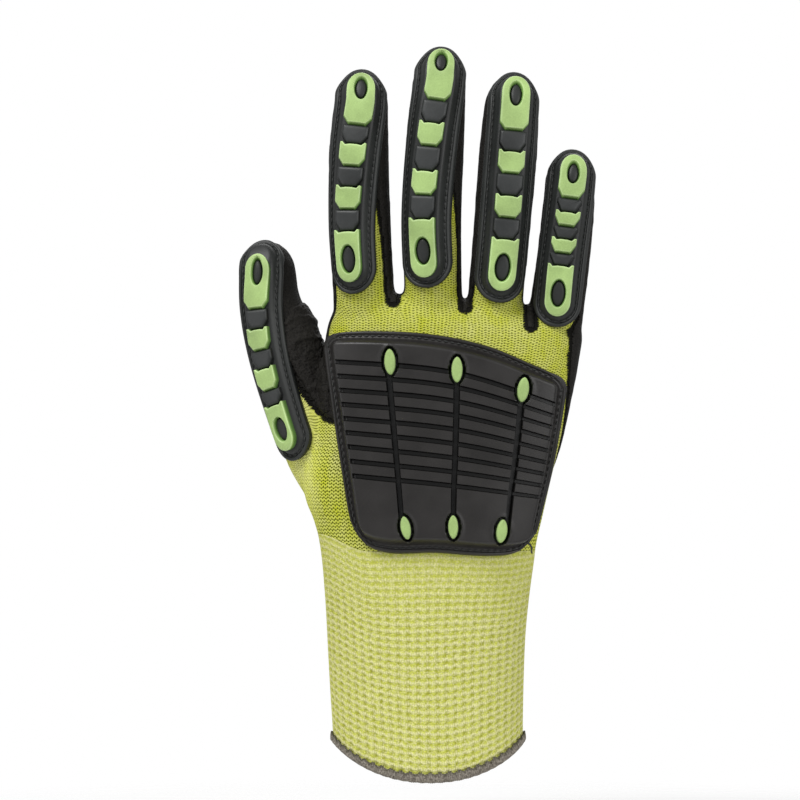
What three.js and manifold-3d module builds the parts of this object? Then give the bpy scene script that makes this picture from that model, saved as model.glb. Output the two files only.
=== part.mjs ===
// A right-hand cut-resistant impact glove, size 9 (L), filled out as a hand fills it, fingers up.
// A seamless knitted shell (cuff, hand, five stalls) carries a dipped palm coating, a patch over the thumb
// crotch, five moulded finger guards with green inserts, and a grooved pad with green studs on the back.
// Millimetres. X runs to the little finger, Z to the fingertips, and the back of the hand faces -Y.
// The origin is the middle of the cuff's mouth, where the hand goes in.

import * as THREE from "three";
import { mergeVertices } from "three/addons/utils/BufferGeometryUtils.js";
import Module from "manifold-3d";

const wasm = await Module();
wasm.setup();

// Driving dimensions
const knitWall = 1.5;
const cuffWall = 1.8;
const seatGap = 0.3;
const coatThickness = 0.5;
const patchThickness = 0.7;
const handSides = 20;
const fingerSides = 10;

// Heights above the knit, measured along the surface's own normal
const guardHeights = { rim: 2.4, spine: 2.8, block: 4.9, insertBottom: 3.2, insertTop: 5.4 };
const padHeights = { bottom: 0.55, flange: 2.3, body: 5.6, groove: 4.0, channel: 3.4, stud: 6.1 };

// Colours as seen in the photo
const paint = (color, roughness) => new THREE.MeshStandardMaterial({ color, roughness, metalness: 0 });
const knitYellow = paint(0xccd634, 0.95);
const cuffYellow = paint(0xd3d98a, 0.95);
const overlockGrey = paint(0x8f887c, 0.95);
const nitrileBlack = paint(0x1d1d1c, 0.85);
const mouldedBlack = paint(0x343536, 0.55);
const mouldedGreen = paint(0xa9cf7c, 0.5);

// Cuff and hand: one row for each cross-section. left and right are X limits, back and palm are Y limits,
// power is the superellipse's exponent, and tilt lowers the top of the webs towards the little finger.
const handSections = [
  { z: -16, left: -33.6, right: 33.9, back: -23.6, palm: 23.6, power: 2.1, tilt: 0 },
  { z: 0, left: -33.9, right: 34.1, back: -23, palm: 23, power: 2.1, tilt: 0 },
  { z: 20, left: -34.8, right: 34, back: -22, palm: 22, power: 2.1, tilt: 0 },
  { z: 40, left: -36.1, right: 34.9, back: -21, palm: 21, power: 2.1, tilt: 0 },
  { z: 58, left: -37.3, right: 36.7, back: -20, palm: 20.2, power: 2.2, tilt: 0 },
  { z: 74, left: -38.7, right: 38.8, back: -19.3, palm: 20.2, power: 2.4, tilt: 0 },
  { z: 92, left: -41.2, right: 42.7, back: -18.5, palm: 20.9, power: 2.7, tilt: 0 },
  { z: 114, left: -40, right: 48.1, back: -17.6, palm: 19.2, power: 2.9, tilt: 0 },
  { z: 146, left: -36.6, right: 54.4, back: -15.4, palm: 14.8, power: 2.9, tilt: 0 },
  { z: 155, left: -34.2, right: 54, back: -13.3, palm: 12.8, power: 2.8, tilt: 0.05 },
  { z: 161, left: -28, right: 47.5, back: -8.6, palm: 8.6, power: 2.5, tilt: 0.085 },
];

// Stalls: one row for each cross-section from root to tip, as centre, half-width and half-depth of an ellipse, and
// how far the guard there is rolled round the finger towards +X, in degrees.
// guard: height of its wrist end, half-width, and the heights at which its green inserts begin and end.
// cut: where the stall is parted from the hand.
const fingers = {
  thumb: {
    rows: [
      { x: -25, y: 2, z: 80, w: 9.5, d: 10.5, roll: -36 },
      { x: -37.4, y: 5.5, z: 106, w: 13, d: 13, roll: -37 },
      { x: -45.1, y: 7.5, z: 128, w: 13.4, d: 11.8, roll: -38 },
      { x: -51.7, y: 8.5, z: 147, w: 12.6, d: 10.6, roll: -33 },
      { x: -56.6, y: 9.2, z: 161, w: 10.1, d: 9.5, roll: -22 },
      { x: -57.8, y: 10, z: 171.5, w: 9.5, d: 8.8, roll: -15 },
    ],
    tip: { x: -58.2, y: 11.5, z: 182.8 },
    guard: { from: 103.5, half: 8.6 },
    inserts: { base: [108.6, 125.1], lower: [130.1, 138.3], upper: [144.4, 152.6], tip: [159.3, 179.6] },
    cut: 134,
  },
  index: {
    rows: [
      { x: -23, y: 0, z: 140, w: 10.3, d: 9.3, roll: -20 },
      { x: -23.2, y: -1.5, z: 165, w: 10.3, d: 9.3, roll: -19 },
      { x: -24.5, y: -1.4, z: 190, w: 10.4, d: 9.1, roll: -19 },
      { x: -24.9, y: -0.1, z: 215, w: 10.1, d: 8.7, roll: -9 },
      { x: -24.2, y: 2.3, z: 231.5, w: 9.2, d: 7.8, roll: -1 },
    ],
    tip: { x: -23.6, y: 5, z: 244 },
    guard: { from: 164.4, half: 9.4 },
    inserts: { base: [168.8, 187.6], lower: [194.8, 203.5], upper: [210.3, 219], tip: [225.3, 244.5] },
    cut: 167,
  },
  middle: {
    rows: [
      { x: 1.5, y: 0, z: 140, w: 9.9, d: 9.3, roll: -11 },
      { x: 1.6, y: -1.8, z: 165, w: 9.9, d: 9.3, roll: -11 },
      { x: 1.3, y: -1.7, z: 193, w: 10, d: 9.1, roll: -15 },
      { x: 2.6, y: -0.1, z: 221, w: 9.8, d: 8.7, roll: -8 },
      { x: 4, y: 2.8, z: 239.5, w: 9, d: 7.8, roll: 0 },
    ],
    tip: { x: 5, y: 5.6, z: 252.2 },
    guard: { from: 166.2, half: 9.4 },
    inserts: { base: [170.4, 191.9], lower: [200, 209.2], upper: [217.6, 226.6], tip: [234.3, 253.2] },
    cut: 167.5,
  },
  ring: {
    rows: [
      { x: 23, y: 0, z: 140, w: 9.7, d: 9.3, roll: 5 },
      { x: 24.4, y: -1.5, z: 163, w: 9.4, d: 9.1, roll: 5 },
      { x: 26.5, y: -1.4, z: 188, w: 9.5, d: 8.8, roll: 6 },
      { x: 28.7, y: 0, z: 214, w: 9.8, d: 8.5, roll: 5 },
      { x: 30, y: 2.3, z: 230.5, w: 9.3, d: 7.8, roll: 5 },
    ],
    tip: { x: 30.9, y: 5, z: 243 },
    guard: { from: 161.4, half: 9.3 },
    inserts: { base: [165.6, 184.7], lower: [191.7, 200.3], upper: [207.7, 216.2], tip: [223.3, 243.3] },
    cut: 165.5,
  },
  little: {
    rows: [
      { x: 44, y: 0, z: 137, w: 8.9, d: 8.8, roll: -1 },
      { x: 46, y: -0.8, z: 157, w: 9.1, d: 8.6, roll: -1 },
      { x: 48.5, y: -0.7, z: 176, w: 8.9, d: 8.3, roll: -4 },
      { x: 50.4, y: 0.4, z: 194, w: 8.7, d: 8, roll: -1 },
      { x: 51.1, y: 1.8, z: 204.5, w: 8.3, d: 7.4, roll: 3 },
    ],
    tip: { x: 52, y: 4, z: 215 },
    guard: { from: 152.7, half: 8.8 },
    inserts: { base: [156.6, 175.3], lower: [179.1, 184.8], upper: [188.8, 194.5], tip: [199, 215.1] },
    cut: 162.5,
  },
};
const fingerNames = Object.keys(fingers);
const uprightFingers = fingerNames.filter((name) => name !== "thumb");

// Hem: the cuff's edge droops at the back and at the palm
const hem = { side: 4, back: -10.3, palm: -5, power: 1.25, bandHeight: 3.6, proud: 0.5 };
const cuffTop = 70.5;

// The knitted hand in three bands one above the other: heel, palm and knuckles. Each edge is a line of X and Z,
// and the palm's upper edge rises over the thumb's crotch.
const heelEdge = [[-90, 100], [90, 100]];
const knuckleEdge = [[-90, 170], [-37.9, 156], [-37.2, 147], [-29, 138], [90, 138]];
const handParts = [
  { name: "hand_knit", lower: [[-90, 60], [90, 60]], upper: heelEdge },
  { name: "hand_knit_palm", lower: heelEdge, upper: knuckleEdge },
  { name: "hand_knit_knuckles", lower: knuckleEdge, upper: [[-90, 190], [90, 190]] },
];

// Solids from point rings

function geometryOf(points, triangles) {
  const geometry = new THREE.BufferGeometry();
  geometry.setAttribute("position", new THREE.Float32BufferAttribute(points.flatMap((p) => [p.x, p.y, p.z]), 3));
  geometry.setIndex(triangles.flat());
  return geometry;
}

// A closed mesh as a solid, with its faces turned outwards
function solidFrom(geometry) {
  const bare = geometry.index ? geometry.clone() : mergeVertices(geometry);
  bare.deleteAttribute("normal");
  bare.deleteAttribute("uv");
  const merged = mergeVertices(bare, 1e-4);
  const vertProperties = merged.attributes.position.array;
  const make = (triVerts) => new wasm.Manifold(new wasm.Mesh({ numProp: 3, vertProperties, triVerts }));
  const solid = make(new Uint32Array(merged.index.array));
  if (solid.volume() >= 0) return solid;
  return make(new Uint32Array(merged.index.array).reverse());
}

function geometryFrom(solid) {
  const mesh = solid.getMesh();
  const geometry = new THREE.BufferGeometry();
  geometry.setAttribute("position", new THREE.BufferAttribute(new Float32Array(mesh.vertProperties), 3));
  geometry.setIndex(new THREE.BufferAttribute(new Uint32Array(mesh.triVerts), 1));
  return geometry;
}

// Quads between neighbouring rings; wrap joins the last ring to the first, as round a tube's wall
function ringQuads(ringCount, sides, wrap) {
  const triangles = [];
  const last = wrap ? ringCount : ringCount - 1;
  for (let i = 0; i < last; i++) {
    const a = i * sides;
    const b = ((i + 1) % ringCount) * sides;
    for (let k = 0; k < sides; k++) {
      const next = (k + 1) % sides;
      triangles.push([a + k, a + next, b + next], [a + k, b + next, b + k]);
    }
  }
  return triangles;
}

// A solid body lofted through rings, closed at both ends by a fan round an end point
function loftedBody(rings, startPoint, endPoint) {
  const sides = rings[0].length;
  const points = rings.flat();
  const triangles = ringQuads(rings.length, sides, false);
  const start = points.push(startPoint) - 1;
  const end = points.push(endPoint) - 1;
  const top = (rings.length - 1) * sides;
  for (let k = 0; k < sides; k++) {
    const next = (k + 1) % sides;
    triangles.push([start, next, k], [end, top + k, top + next]);
  }
  return solidFrom(geometryOf(points, triangles));
}

// An open-ended tube with a wall: its rings run up the outside and back down the inside
const loftedTube = (rings) => solidFrom(geometryOf(rings.flat(), ringQuads(rings.length, rings[0].length, true)));

const middleOf = (ring) => ring.reduce((sum, p) => sum.add(p), new THREE.Vector3()).divideScalar(ring.length);

function unite(solids) {
  return solids.reduce((sum, solid) => sum.add(solid));
}

// An outline drawn in a plane and extruded to a closed slab, turned by a matrix
function slabFrom(outline, depth, matrix) {
  const shape = new THREE.Shape(outline.map(([a, b]) => new THREE.Vector2(a, b)));
  const geometry = new THREE.ExtrudeGeometry(shape, { depth, bevelEnabled: false, steps: 1 });
  return solidFrom(geometry.applyMatrix4(matrix));
}

// Hand and cuff

function sectionAt(z) {
  const upper = handSections.findIndex((row) => row.z >= z);
  const high = handSections[upper < 0 ? handSections.length - 1 : Math.max(upper, 1)];
  const low = handSections[handSections.indexOf(high) - 1];
  const t = THREE.MathUtils.clamp((z - low.z) / (high.z - low.z), 0, 1);
  const mix = (column) => THREE.MathUtils.lerp(low[column], high[column], t);
  return { left: mix("left"), right: mix("right"), back: mix("back"), palm: mix("palm"), power: mix("power"), tilt: mix("tilt") };
}

// A point of the hand's surface, grown outwards by offset; at angle 0 it is on the little finger's side
function handPoint(z, angle, offset) {
  const s = sectionAt(z);
  const round = (value) => Math.sign(value) * Math.abs(value) ** (2 / s.power);
  const centre = (s.left + s.right) / 2;
  const x = centre + ((s.right - s.left) / 2 + offset) * round(Math.cos(angle));
  const depth = Math.sin(angle) < 0 ? -s.back : s.palm;
  return new THREE.Vector3(x, (depth + offset) * round(Math.sin(angle)), z - s.tilt * x);
}

const handRing = (heightOf, offset) =>
  Array.from({ length: handSides }, (_, k) => {
    const angle = (2 * Math.PI * k) / handSides;
    return handPoint(heightOf(angle), angle, offset);
  });

function handBody(offset, bottom) {
  const heights = [bottom, ...handSections.map((row) => row.z).filter((z) => z > bottom + 1)];
  const rings = heights.map((z) => {
    const lift = z > 150 ? offset : 0;
    return handRing(() => z, offset).map((p) => p.setZ(p.z + lift));
  });
  return loftedBody(rings, middleOf(rings[0]), middleOf(rings.at(-1)).setZ(middleOf(rings.at(-1)).z + 1));
}

// Stalls

const up = new THREE.Vector3(0, 0, 1);
const backward = new THREE.Vector3(0, -1, 0);
const pointOf = (row) => new THREE.Vector3(row.x, row.y, row.z);

// Stations with their own axes: along the finger, across it and out of its back
function stations(finger) {
  const centres = [...finger.rows.map(pointOf), pointOf(finger.tip)];
  return finger.rows.map((row, i) => {
    const along = centres[i + 1].clone().sub(centres[Math.max(i - 1, 0)]).normalize();
    const out = backward.clone().addScaledVector(along, -backward.dot(along)).normalize();
    return { centre: centres[i], along, out, across: along.clone().cross(out), w: row.w, d: row.d, roll: row.roll };
  });
}

// The rounded tip rises from the last station: each row is a share of its height
const domeShares = [0.55, 0.88];

function stallBody(finger, offset) {
  const all = stations(finger);
  const last = all.at(-1);
  const rise = pointOf(finger.tip).sub(last.centre);
  const reach = rise.clone().addScaledVector(rise.clone().normalize(), offset);
  const ring = (station, centre, scale) =>
    Array.from({ length: fingerSides }, (_, k) => {
      const angle = (2 * Math.PI * k) / fingerSides;
      return centre
        .clone()
        .addScaledVector(station.across, scale * (station.w + offset) * Math.cos(angle))
        .addScaledVector(station.out, scale * (station.d + offset) * Math.sin(angle));
    });
  const rings = all.map((station) => ring(station, station.centre, 1));
  for (const share of domeShares) {
    rings.push(ring(last, last.centre.clone().addScaledVector(reach, share), Math.sqrt(1 - share * share)));
  }
  return loftedBody(rings, all[0].centre, last.centre.clone().add(reach));
}

const wholeHand = (offset, bottom) =>
  unite([handBody(offset, bottom), ...fingerNames.map((name) => stallBody(fingers[name], offset))]);

// The space above a stall's cut, wide enough for that stall alone
const stallLimits = { index: [-40, -11.6], middle: [-11.4, 13.4], ring: [13.7, 37], little: [37.2, 70] };
const limitLean = 0.085;

function stallRegion(name, lowered) {
  const z = fingers[name].cut;
  if (name === "thumb") {
    // seen from the back of the hand, the cut runs across the thumb and its region ends short of the index finger
    const outline = [[-90, z + 18 - lowered], [-40.6, z - 5.6 - lowered], [-40.6, 143], [-40.6, 200], [-90, 200]];
    return slabFrom(outline, 80, new THREE.Matrix4().makeRotationX(Math.PI / 2).setPosition(0, 40, 0));
  }
  const [left, right] = stallLimits[name];
  const lean = (x) => (x > 30 ? x + 100 * limitLean : x);
  const outline = [[left, z - lowered], [right, z - lowered], [lean(right), z + 100], [lean(left), z + 100]];
  return slabFrom(outline, 80, new THREE.Matrix4().makeRotationX(Math.PI / 2).setPosition(0, 40, 0));
}

// Guards: a strip swept along a path on the finger's back, with s along it and w across it

function guardPath(finger) {
  const all = stations(finger);
  const samples = [];
  const add = (station, centre, scale, lean) => {
    const roll = THREE.MathUtils.degToRad(station.roll);
    const radial = station.across.clone().multiplyScalar(station.w * Math.sin(roll));
    radial.addScaledVector(station.out, station.d * Math.cos(roll));
    const normal = station.across.clone().multiplyScalar(Math.sin(roll) / station.w);
    normal.addScaledVector(station.out, Math.cos(roll) / station.d).multiplyScalar(scale);
    normal.addScaledVector(station.along, lean).normalize();
    samples.push({ point: centre.clone().addScaledVector(radial, scale), normal });
  };
  all.forEach((station) => add(station, station.centre, 1, 0));
  const last = all.at(-1);
  const rise = pointOf(finger.tip).sub(last.centre);
  const height = rise.length();
  for (const share of [0.2, 0.4, 0.6, 0.76, 0.88, 0.96]) {
    add(last, last.centre.clone().addScaledVector(rise, share), Math.sqrt(1 - share * share), share / height);
  }
  const curve = new THREE.CatmullRomCurve3(samples.map((sample) => sample.point), false, "centripetal");
  const normals = new THREE.CatmullRomCurve3(samples.map((sample) => sample.normal), false, "centripetal");
  // the path starts where it passes the guard's lower end
  const steps = 400;
  const fine = Array.from({ length: steps + 1 }, (_, i) => ({
    point: curve.getPoint(i / steps),
    normal: normals.getPoint(i / steps).normalize(),
  }));
  const kept = fine.slice(fine.findIndex((f) => f.point.z >= finger.guard.from));
  kept[0].s = 0;
  for (let i = 1; i < kept.length; i++) kept[i].s = kept[i - 1].s + kept[i].point.distanceTo(kept[i - 1].point);
  return { samples: kept, length: kept.at(-1).s, radius: (all[2].w + 1) ** 2 / (all[2].d + 1) };
}

const tipCurl = { radius: 9, length: 12 };

// The point of the glove at s along the guard, w across it and h above the knit. The thin rim bends round the
// finger, and the thick spine stays almost flat.
function guardPoint(path, s, w, h, follow = h >= guardHeights.spine ? 0.2 : 1) {
  const { samples, length, radius } = path;
  const within = THREE.MathUtils.clamp(s, 0, length);
  const i = Math.max(1, samples.findIndex((sample) => sample.s >= within));
  const a = samples[i - 1];
  const b = samples[i];
  const t = (within - a.s) / (b.s - a.s);
  const along = b.point.clone().sub(a.point).normalize();
  const normal = a.normal.clone().lerp(b.normal, t).normalize();
  normal.addScaledVector(along, -normal.dot(along)).normalize();
  const across = along.clone().cross(normal);
  const nearTip = THREE.MathUtils.smoothstep(s, length - tipCurl.length, length);
  const bend = THREE.MathUtils.lerp(radius, tipCurl.radius, nearTip);
  const drop = bend - Math.sqrt(Math.max(bend * bend - w * w, 0));
  return a.point.clone().lerp(b.point, t)
    .addScaledVector(along, s - within)
    .addScaledVector(across, w)
    .addScaledVector(normal, h - drop * follow);
}

// A closed solid on a guard: rows run along it and columns across it. Each row gives where its lower and upper
// edges lie (s, topS), their half-widths, and how far its middle columns dip towards the wrist.
function guardSolid(path, rows, columns, low, high, follow) {
  const face = (top) =>
    rows.map((row) =>
      columns.map((c) => {
        const dip = Math.abs(c) < 1 ? (row.dip ?? 0) : 0;
        const s = (top ? row.topS ?? row.s : row.s) - dip;
        const half = top ? row.topHalf ?? row.half : row.half;
        return guardPoint(path, s, half * c, top ? high(row, c) : low, follow);
      }),
    );
  const n = columns.length;
  const points = [...face(false).flat(), ...face(true).flat()];
  const upper = rows.length * n;
  const triangles = [];
  const quad = (a, b, c, d) => triangles.push([a, b, c], [a, c, d]);
  for (let i = 0; i + 1 < rows.length; i++) {
    for (let j = 0; j + 1 < n; j++) {
      const a = i * n + j;
      quad(a, a + n, a + n + 1, a + 1);
      quad(upper + a, upper + a + 1, upper + a + n + 1, upper + a + n);
    }
    const left = i * n;
    const right = left + n - 1;
    quad(left, upper + left, upper + left + n, left + n);
    quad(right, right + n, upper + right + n, upper + right);
  }
  for (let j = 0; j + 1 < n; j++) {
    const end = (rows.length - 1) * n + j;
    quad(j, j + 1, upper + j + 1, upper + j);
    quad(end, upper + end, upper + end + 1, end + 1);
  }
  return solidFrom(geometryOf(points, triangles));
}

// Rows of a rounded end: angles round a quarter circle of the given radius
const roundEnd = (start, radius, direction, angles) =>
  angles.map((degrees) => {
    const a = THREE.MathUtils.degToRad(degrees);
    return { s: start + direction * radius * (1 - Math.cos(a)), half: radius * Math.sin(a) };
  });

const guardRoot = -1.6;
const blockRoot = 1.4;
const insertHalf = 5.1;
const bevel = 0.4;
const lowerFacet = 1.1;
const chamfer = { length: 2.7, half: 2.9 };
const ears = 0.9;

// Where each raised piece of a guard starts and ends along its path, from heights measured at the inserts' tops
function guardPieces(finger, path) {
  const { base, lower, upper, tip } = finger.inserts;
  const alongAt = (z) => {
    let [from, to] = [0, path.length];
    for (let i = 0; i < 24; i++) {
      const middle = (from + to) / 2;
      if (guardPoint(path, middle, 0, guardHeights.insertTop).z < z) from = middle;
      else to = middle;
    }
    return from;
  };
  const between = { block_low: [base[1], lower[0]], block_mid: [lower[1], upper[0]], block_high: [upper[1], tip[0]] };
  const heights = { ...finger.inserts, ...between };
  return Object.fromEntries(
    Object.entries(heights).map(([name, [from, to]]) => [name, { start: alongAt(from), end: alongAt(to) }]),
  );
}

const holes = { base: { share: 0.43, half: 2.6, length: 5.2 }, tip: { share: 0.68, half: 2.6, length: 4.1 } };
const holeSides = 8;

// A prism through the guard's spine: the hole in a green insert, or the boss that fills it
function oval(path, at, half, length, low, high) {
  const ring = (h) =>
    Array.from({ length: holeSides }, (_, k) => {
      const a = (2 * Math.PI * k) / holeSides;
      return guardPoint(path, at + length * Math.sin(a), half * Math.cos(a), h, 0.2);
    });
  const rings = [ring(low), ring(high)];
  return loftedBody(rings, middleOf(rings[0]), middleOf(rings[1]));
}

const holeAt = (piece, hole) => THREE.MathUtils.lerp(piece.start, piece.end, hole.share);

// Rows of a piece with chamfered lower corners and a facet across its lower end
const chamferedStart = (start, half) => [
  { s: start + 0.25, half: chamfer.half, topS: start + lowerFacet, topHalf: chamfer.half - 0.2 },
  { s: start + chamfer.length, half, topS: start + chamfer.length + 0.3, topHalf: half - bevel },
];

function guardBase(finger, path, seat) {
  const width = finger.guard.half;
  const end = path.length;
  const rows = [
    ...roundEnd(0, width, 1, [20, 52, 90]),
    ...[0.3, 0.5, 0.7].map((share) => ({ s: share * end, half: width })),
    ...roundEnd(end, width, -1, [90, 52, 20]),
  ];
  const rimHeight = (row, c) => (Math.abs(c) < 0.7 && row.half > 0.5 * width ? guardHeights.spine : guardHeights.rim);
  const strip = guardSolid(path, rows, [-1, -0.6, 0.6, 1], guardRoot, rimHeight).subtract(seat);
  const pieces = guardPieces(finger, path);
  const blocks = ["block_low", "block_mid", "block_high"].map((name) => {
    const { start, end: stop } = pieces[name];
    const topRow = { s: stop - 0.3, half: insertHalf - 0.3, topS: stop - 0.5, topHalf: insertHalf - 0.7 };
    const blockRows = [...chamferedStart(start + 0.2, insertHalf - 0.3), topRow];
    return guardSolid(path, blockRows, [-1, 1], guardHeights.spine - blockRoot, () => guardHeights.block, 0.2);
  });
  const bosses = ["base", "tip"].map((name) => {
    const hole = holes[name];
    const top = guardHeights.insertTop - 0.9;
    return oval(path, holeAt(pieces[name], hole), hole.half - 0.5, hole.length - 0.5, guardHeights.spine - blockRoot, top);
  });
  return unite([strip, ...blocks, ...bosses]);
}

// The room that a guard takes up on the coating, with a gap round it
function guardRoom(finger, path) {
  const half = finger.guard.half + 1.5 * seatGap;
  const end = path.length + 1.5 * seatGap;
  const rows = [
    ...roundEnd(-1.5 * seatGap, half, 1, [20, 52, 90]),
    ...[0.3, 0.5, 0.7].map((share) => ({ s: share * end, half })),
    ...roundEnd(end, half, -1, [90, 52, 20]),
  ];
  return guardSolid(path, rows, [-1, 1], -7.5, () => 5, 0);
}

function guardInserts(finger, path) {
  const pieces = guardPieces(finger, path);
  const earRow = (stop) => ({ s: stop - 0.2, half: insertHalf, topS: stop - 0.4, topHalf: insertHalf - bevel, dip: ears });
  const solids = {};
  const make = (name, rows, columns) => {
    solids[name] = guardSolid(path, rows, columns, guardHeights.insertBottom, () => guardHeights.insertTop, 0.2);
  };
  for (const name of ["lower", "upper"]) {
    const { start, end } = pieces[name];
    make(name, [...chamferedStart(start, insertHalf), earRow(end)], [-1, -0.72, 0.72, 1]);
  }
  const inset = (rows, sign) =>
    rows.map((row) => ({ ...row, topS: row.s + sign * bevel, topHalf: Math.max(row.half - bevel, 0.6) }));
  const { base, tip } = pieces;
  const baseRows = inset(roundEnd(base.start, insertHalf, 1, [40, 90]), 1);
  baseRows.push({ ...earRow(base.end), dip: 0 });
  make("base", baseRows, [-1, 1]);
  const tipRows = [...chamferedStart(tip.start, insertHalf)];
  tipRows.push({ s: (tip.start + tip.end) / 2, half: insertHalf, topHalf: insertHalf - bevel });
  tipRows.push(...inset(roundEnd(tip.end, insertHalf, -1, [90, 50]), -1));
  make("tip", tipRows, [-1, 1]);
  for (const name of ["base", "tip"]) {
    const hole = holes[name];
    const cutter = oval(path, holeAt(pieces[name], hole), hole.half, hole.length, guardHeights.spine + 0.1, 8);
    solids[name] = solids[name].subtract(cutter);
  }
  return solids;
}

// Back pad: four edges of its outline as short tables, and two of its nine grooves

// A smooth curve through a short table of [position, value] pairs
function curveThrough(table) {
  return (at) => {
    const found = table.findIndex(([position]) => position >= at);
    const i = THREE.MathUtils.clamp(found < 0 ? table.length - 1 : found, 1, table.length - 1);
    const slope = (k) => {
      const [a, b] = [table[Math.max(k - 1, 0)], table[Math.min(k + 1, table.length - 1)]];
      return (b[1] - a[1]) / (b[0] - a[0]);
    };
    const [[x0, y0], [x1, y1]] = [table[i - 1], table[i]];
    const span = x1 - x0;
    const t = THREE.MathUtils.clamp((at - x0) / span, 0, 1);
    const [t2, t3] = [t * t, t * t * t];
    return (2 * t3 - 3 * t2 + 1) * y0 + (t3 - 2 * t2 + t) * span * slope(i - 1)
      + (3 * t2 - 2 * t3) * y1 + (t3 - t2) * span * slope(i);
  };
}

const padOutline = {
  top: curveThrough([
    [-35, 149], [-33, 150], [-29, 150.6], [-20, 150.9], [-5, 150.2], [9, 147.9], [23, 144], [36, 138.9], [44, 136], [47.4, 134.4], [48.6, 133],
  ]),
  bottom: curveThrough([[-23.8, 77.6], [-21.2, 74.9], [-18, 73], [-11.6, 71.9], [2.1, 72.2], [16, 71.2], [26, 71.2], [31.6, 72.6], [35.6, 75.8]]),
  left: curveThrough([[77.6, -23.8], [80.6, -25.7], [85, -27.3], [97, -29.2], [111, -31.2], [128, -33.5], [142, -35.5], [147, -35.9], [149, -35]]),
  right: curveThrough([[75.8, 35.6], [79, 37.6], [83.5, 39], [90.4, 40.8], [100.7, 43.4], [114.5, 46.2], [128, 48.6], [131, 49.1], [133, 48.6]]),
};
const grooves = { count: 9, first: 0.16, last: 0.68, half: 0.85 };
const firstGroove = curveThrough([[-36, 140.3], [9.9, 135.9], [50, 123]]);
const lastGroove = curveThrough([[-31, 99.9], [8, 96], [44, 91.6]]);
const channels = { at: [0.27, 0.54, 0.807], half: 1.05 };
const padSize = { across: 84, down: 76 };
const padWiden = 2.5;

// The line across the pad at v (0 at the knuckles, 1 at the wrist), as Z over X
function padLine(x, v) {
  const { first, last } = grooves;
  if (v < first) return THREE.MathUtils.lerp(padOutline.top(x), firstGroove(x), v / first);
  if (v < last) return THREE.MathUtils.lerp(firstGroove(x), lastGroove(x), (v - first) / (last - first));
  return THREE.MathUtils.lerp(lastGroove(x), padOutline.bottom(x), (v - last) / (1 - last));
}

// Where u across and v down the pad lie in the plane of the photo's outline
function padPlace(u, v) {
  const edge = (side, start) => {
    let x = start;
    for (let i = 0; i < 6; i++) x = side(padLine(x, v));
    return x;
  };
  const x = THREE.MathUtils.lerp(edge(padOutline.left, -32), edge(padOutline.right, 45), u);
  return { x, z: padLine(x, v) };
}

// The pad lies on the hand's back, and leaves it a little towards the sides because it is stiffer than knit
function padSurface(x, z) {
  const s = sectionAt(z);
  const centre = (s.left + s.right) / 2;
  const share = Math.min(Math.abs((x - centre) / ((s.right - s.left) / 2 + padWiden)), 0.999);
  return new THREE.Vector3(x, s.back * (1 - share ** s.power) ** (1 / s.power), z);
}

function padPoint(x, z, h) {
  const step = 0.8;
  const acrossPad = padSurface(x + step, z).sub(padSurface(x - step, z));
  const upPad = padSurface(x, z + 6 * step).sub(padSurface(x, z - 6 * step));
  const normal = acrossPad.cross(upPad).normalize();
  return padSurface(x, z).addScaledVector(normal, h);
}

const shares = (from, to, count) => Array.from({ length: count }, (_, i) => THREE.MathUtils.lerp(from, to, i / (count - 1)));

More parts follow.
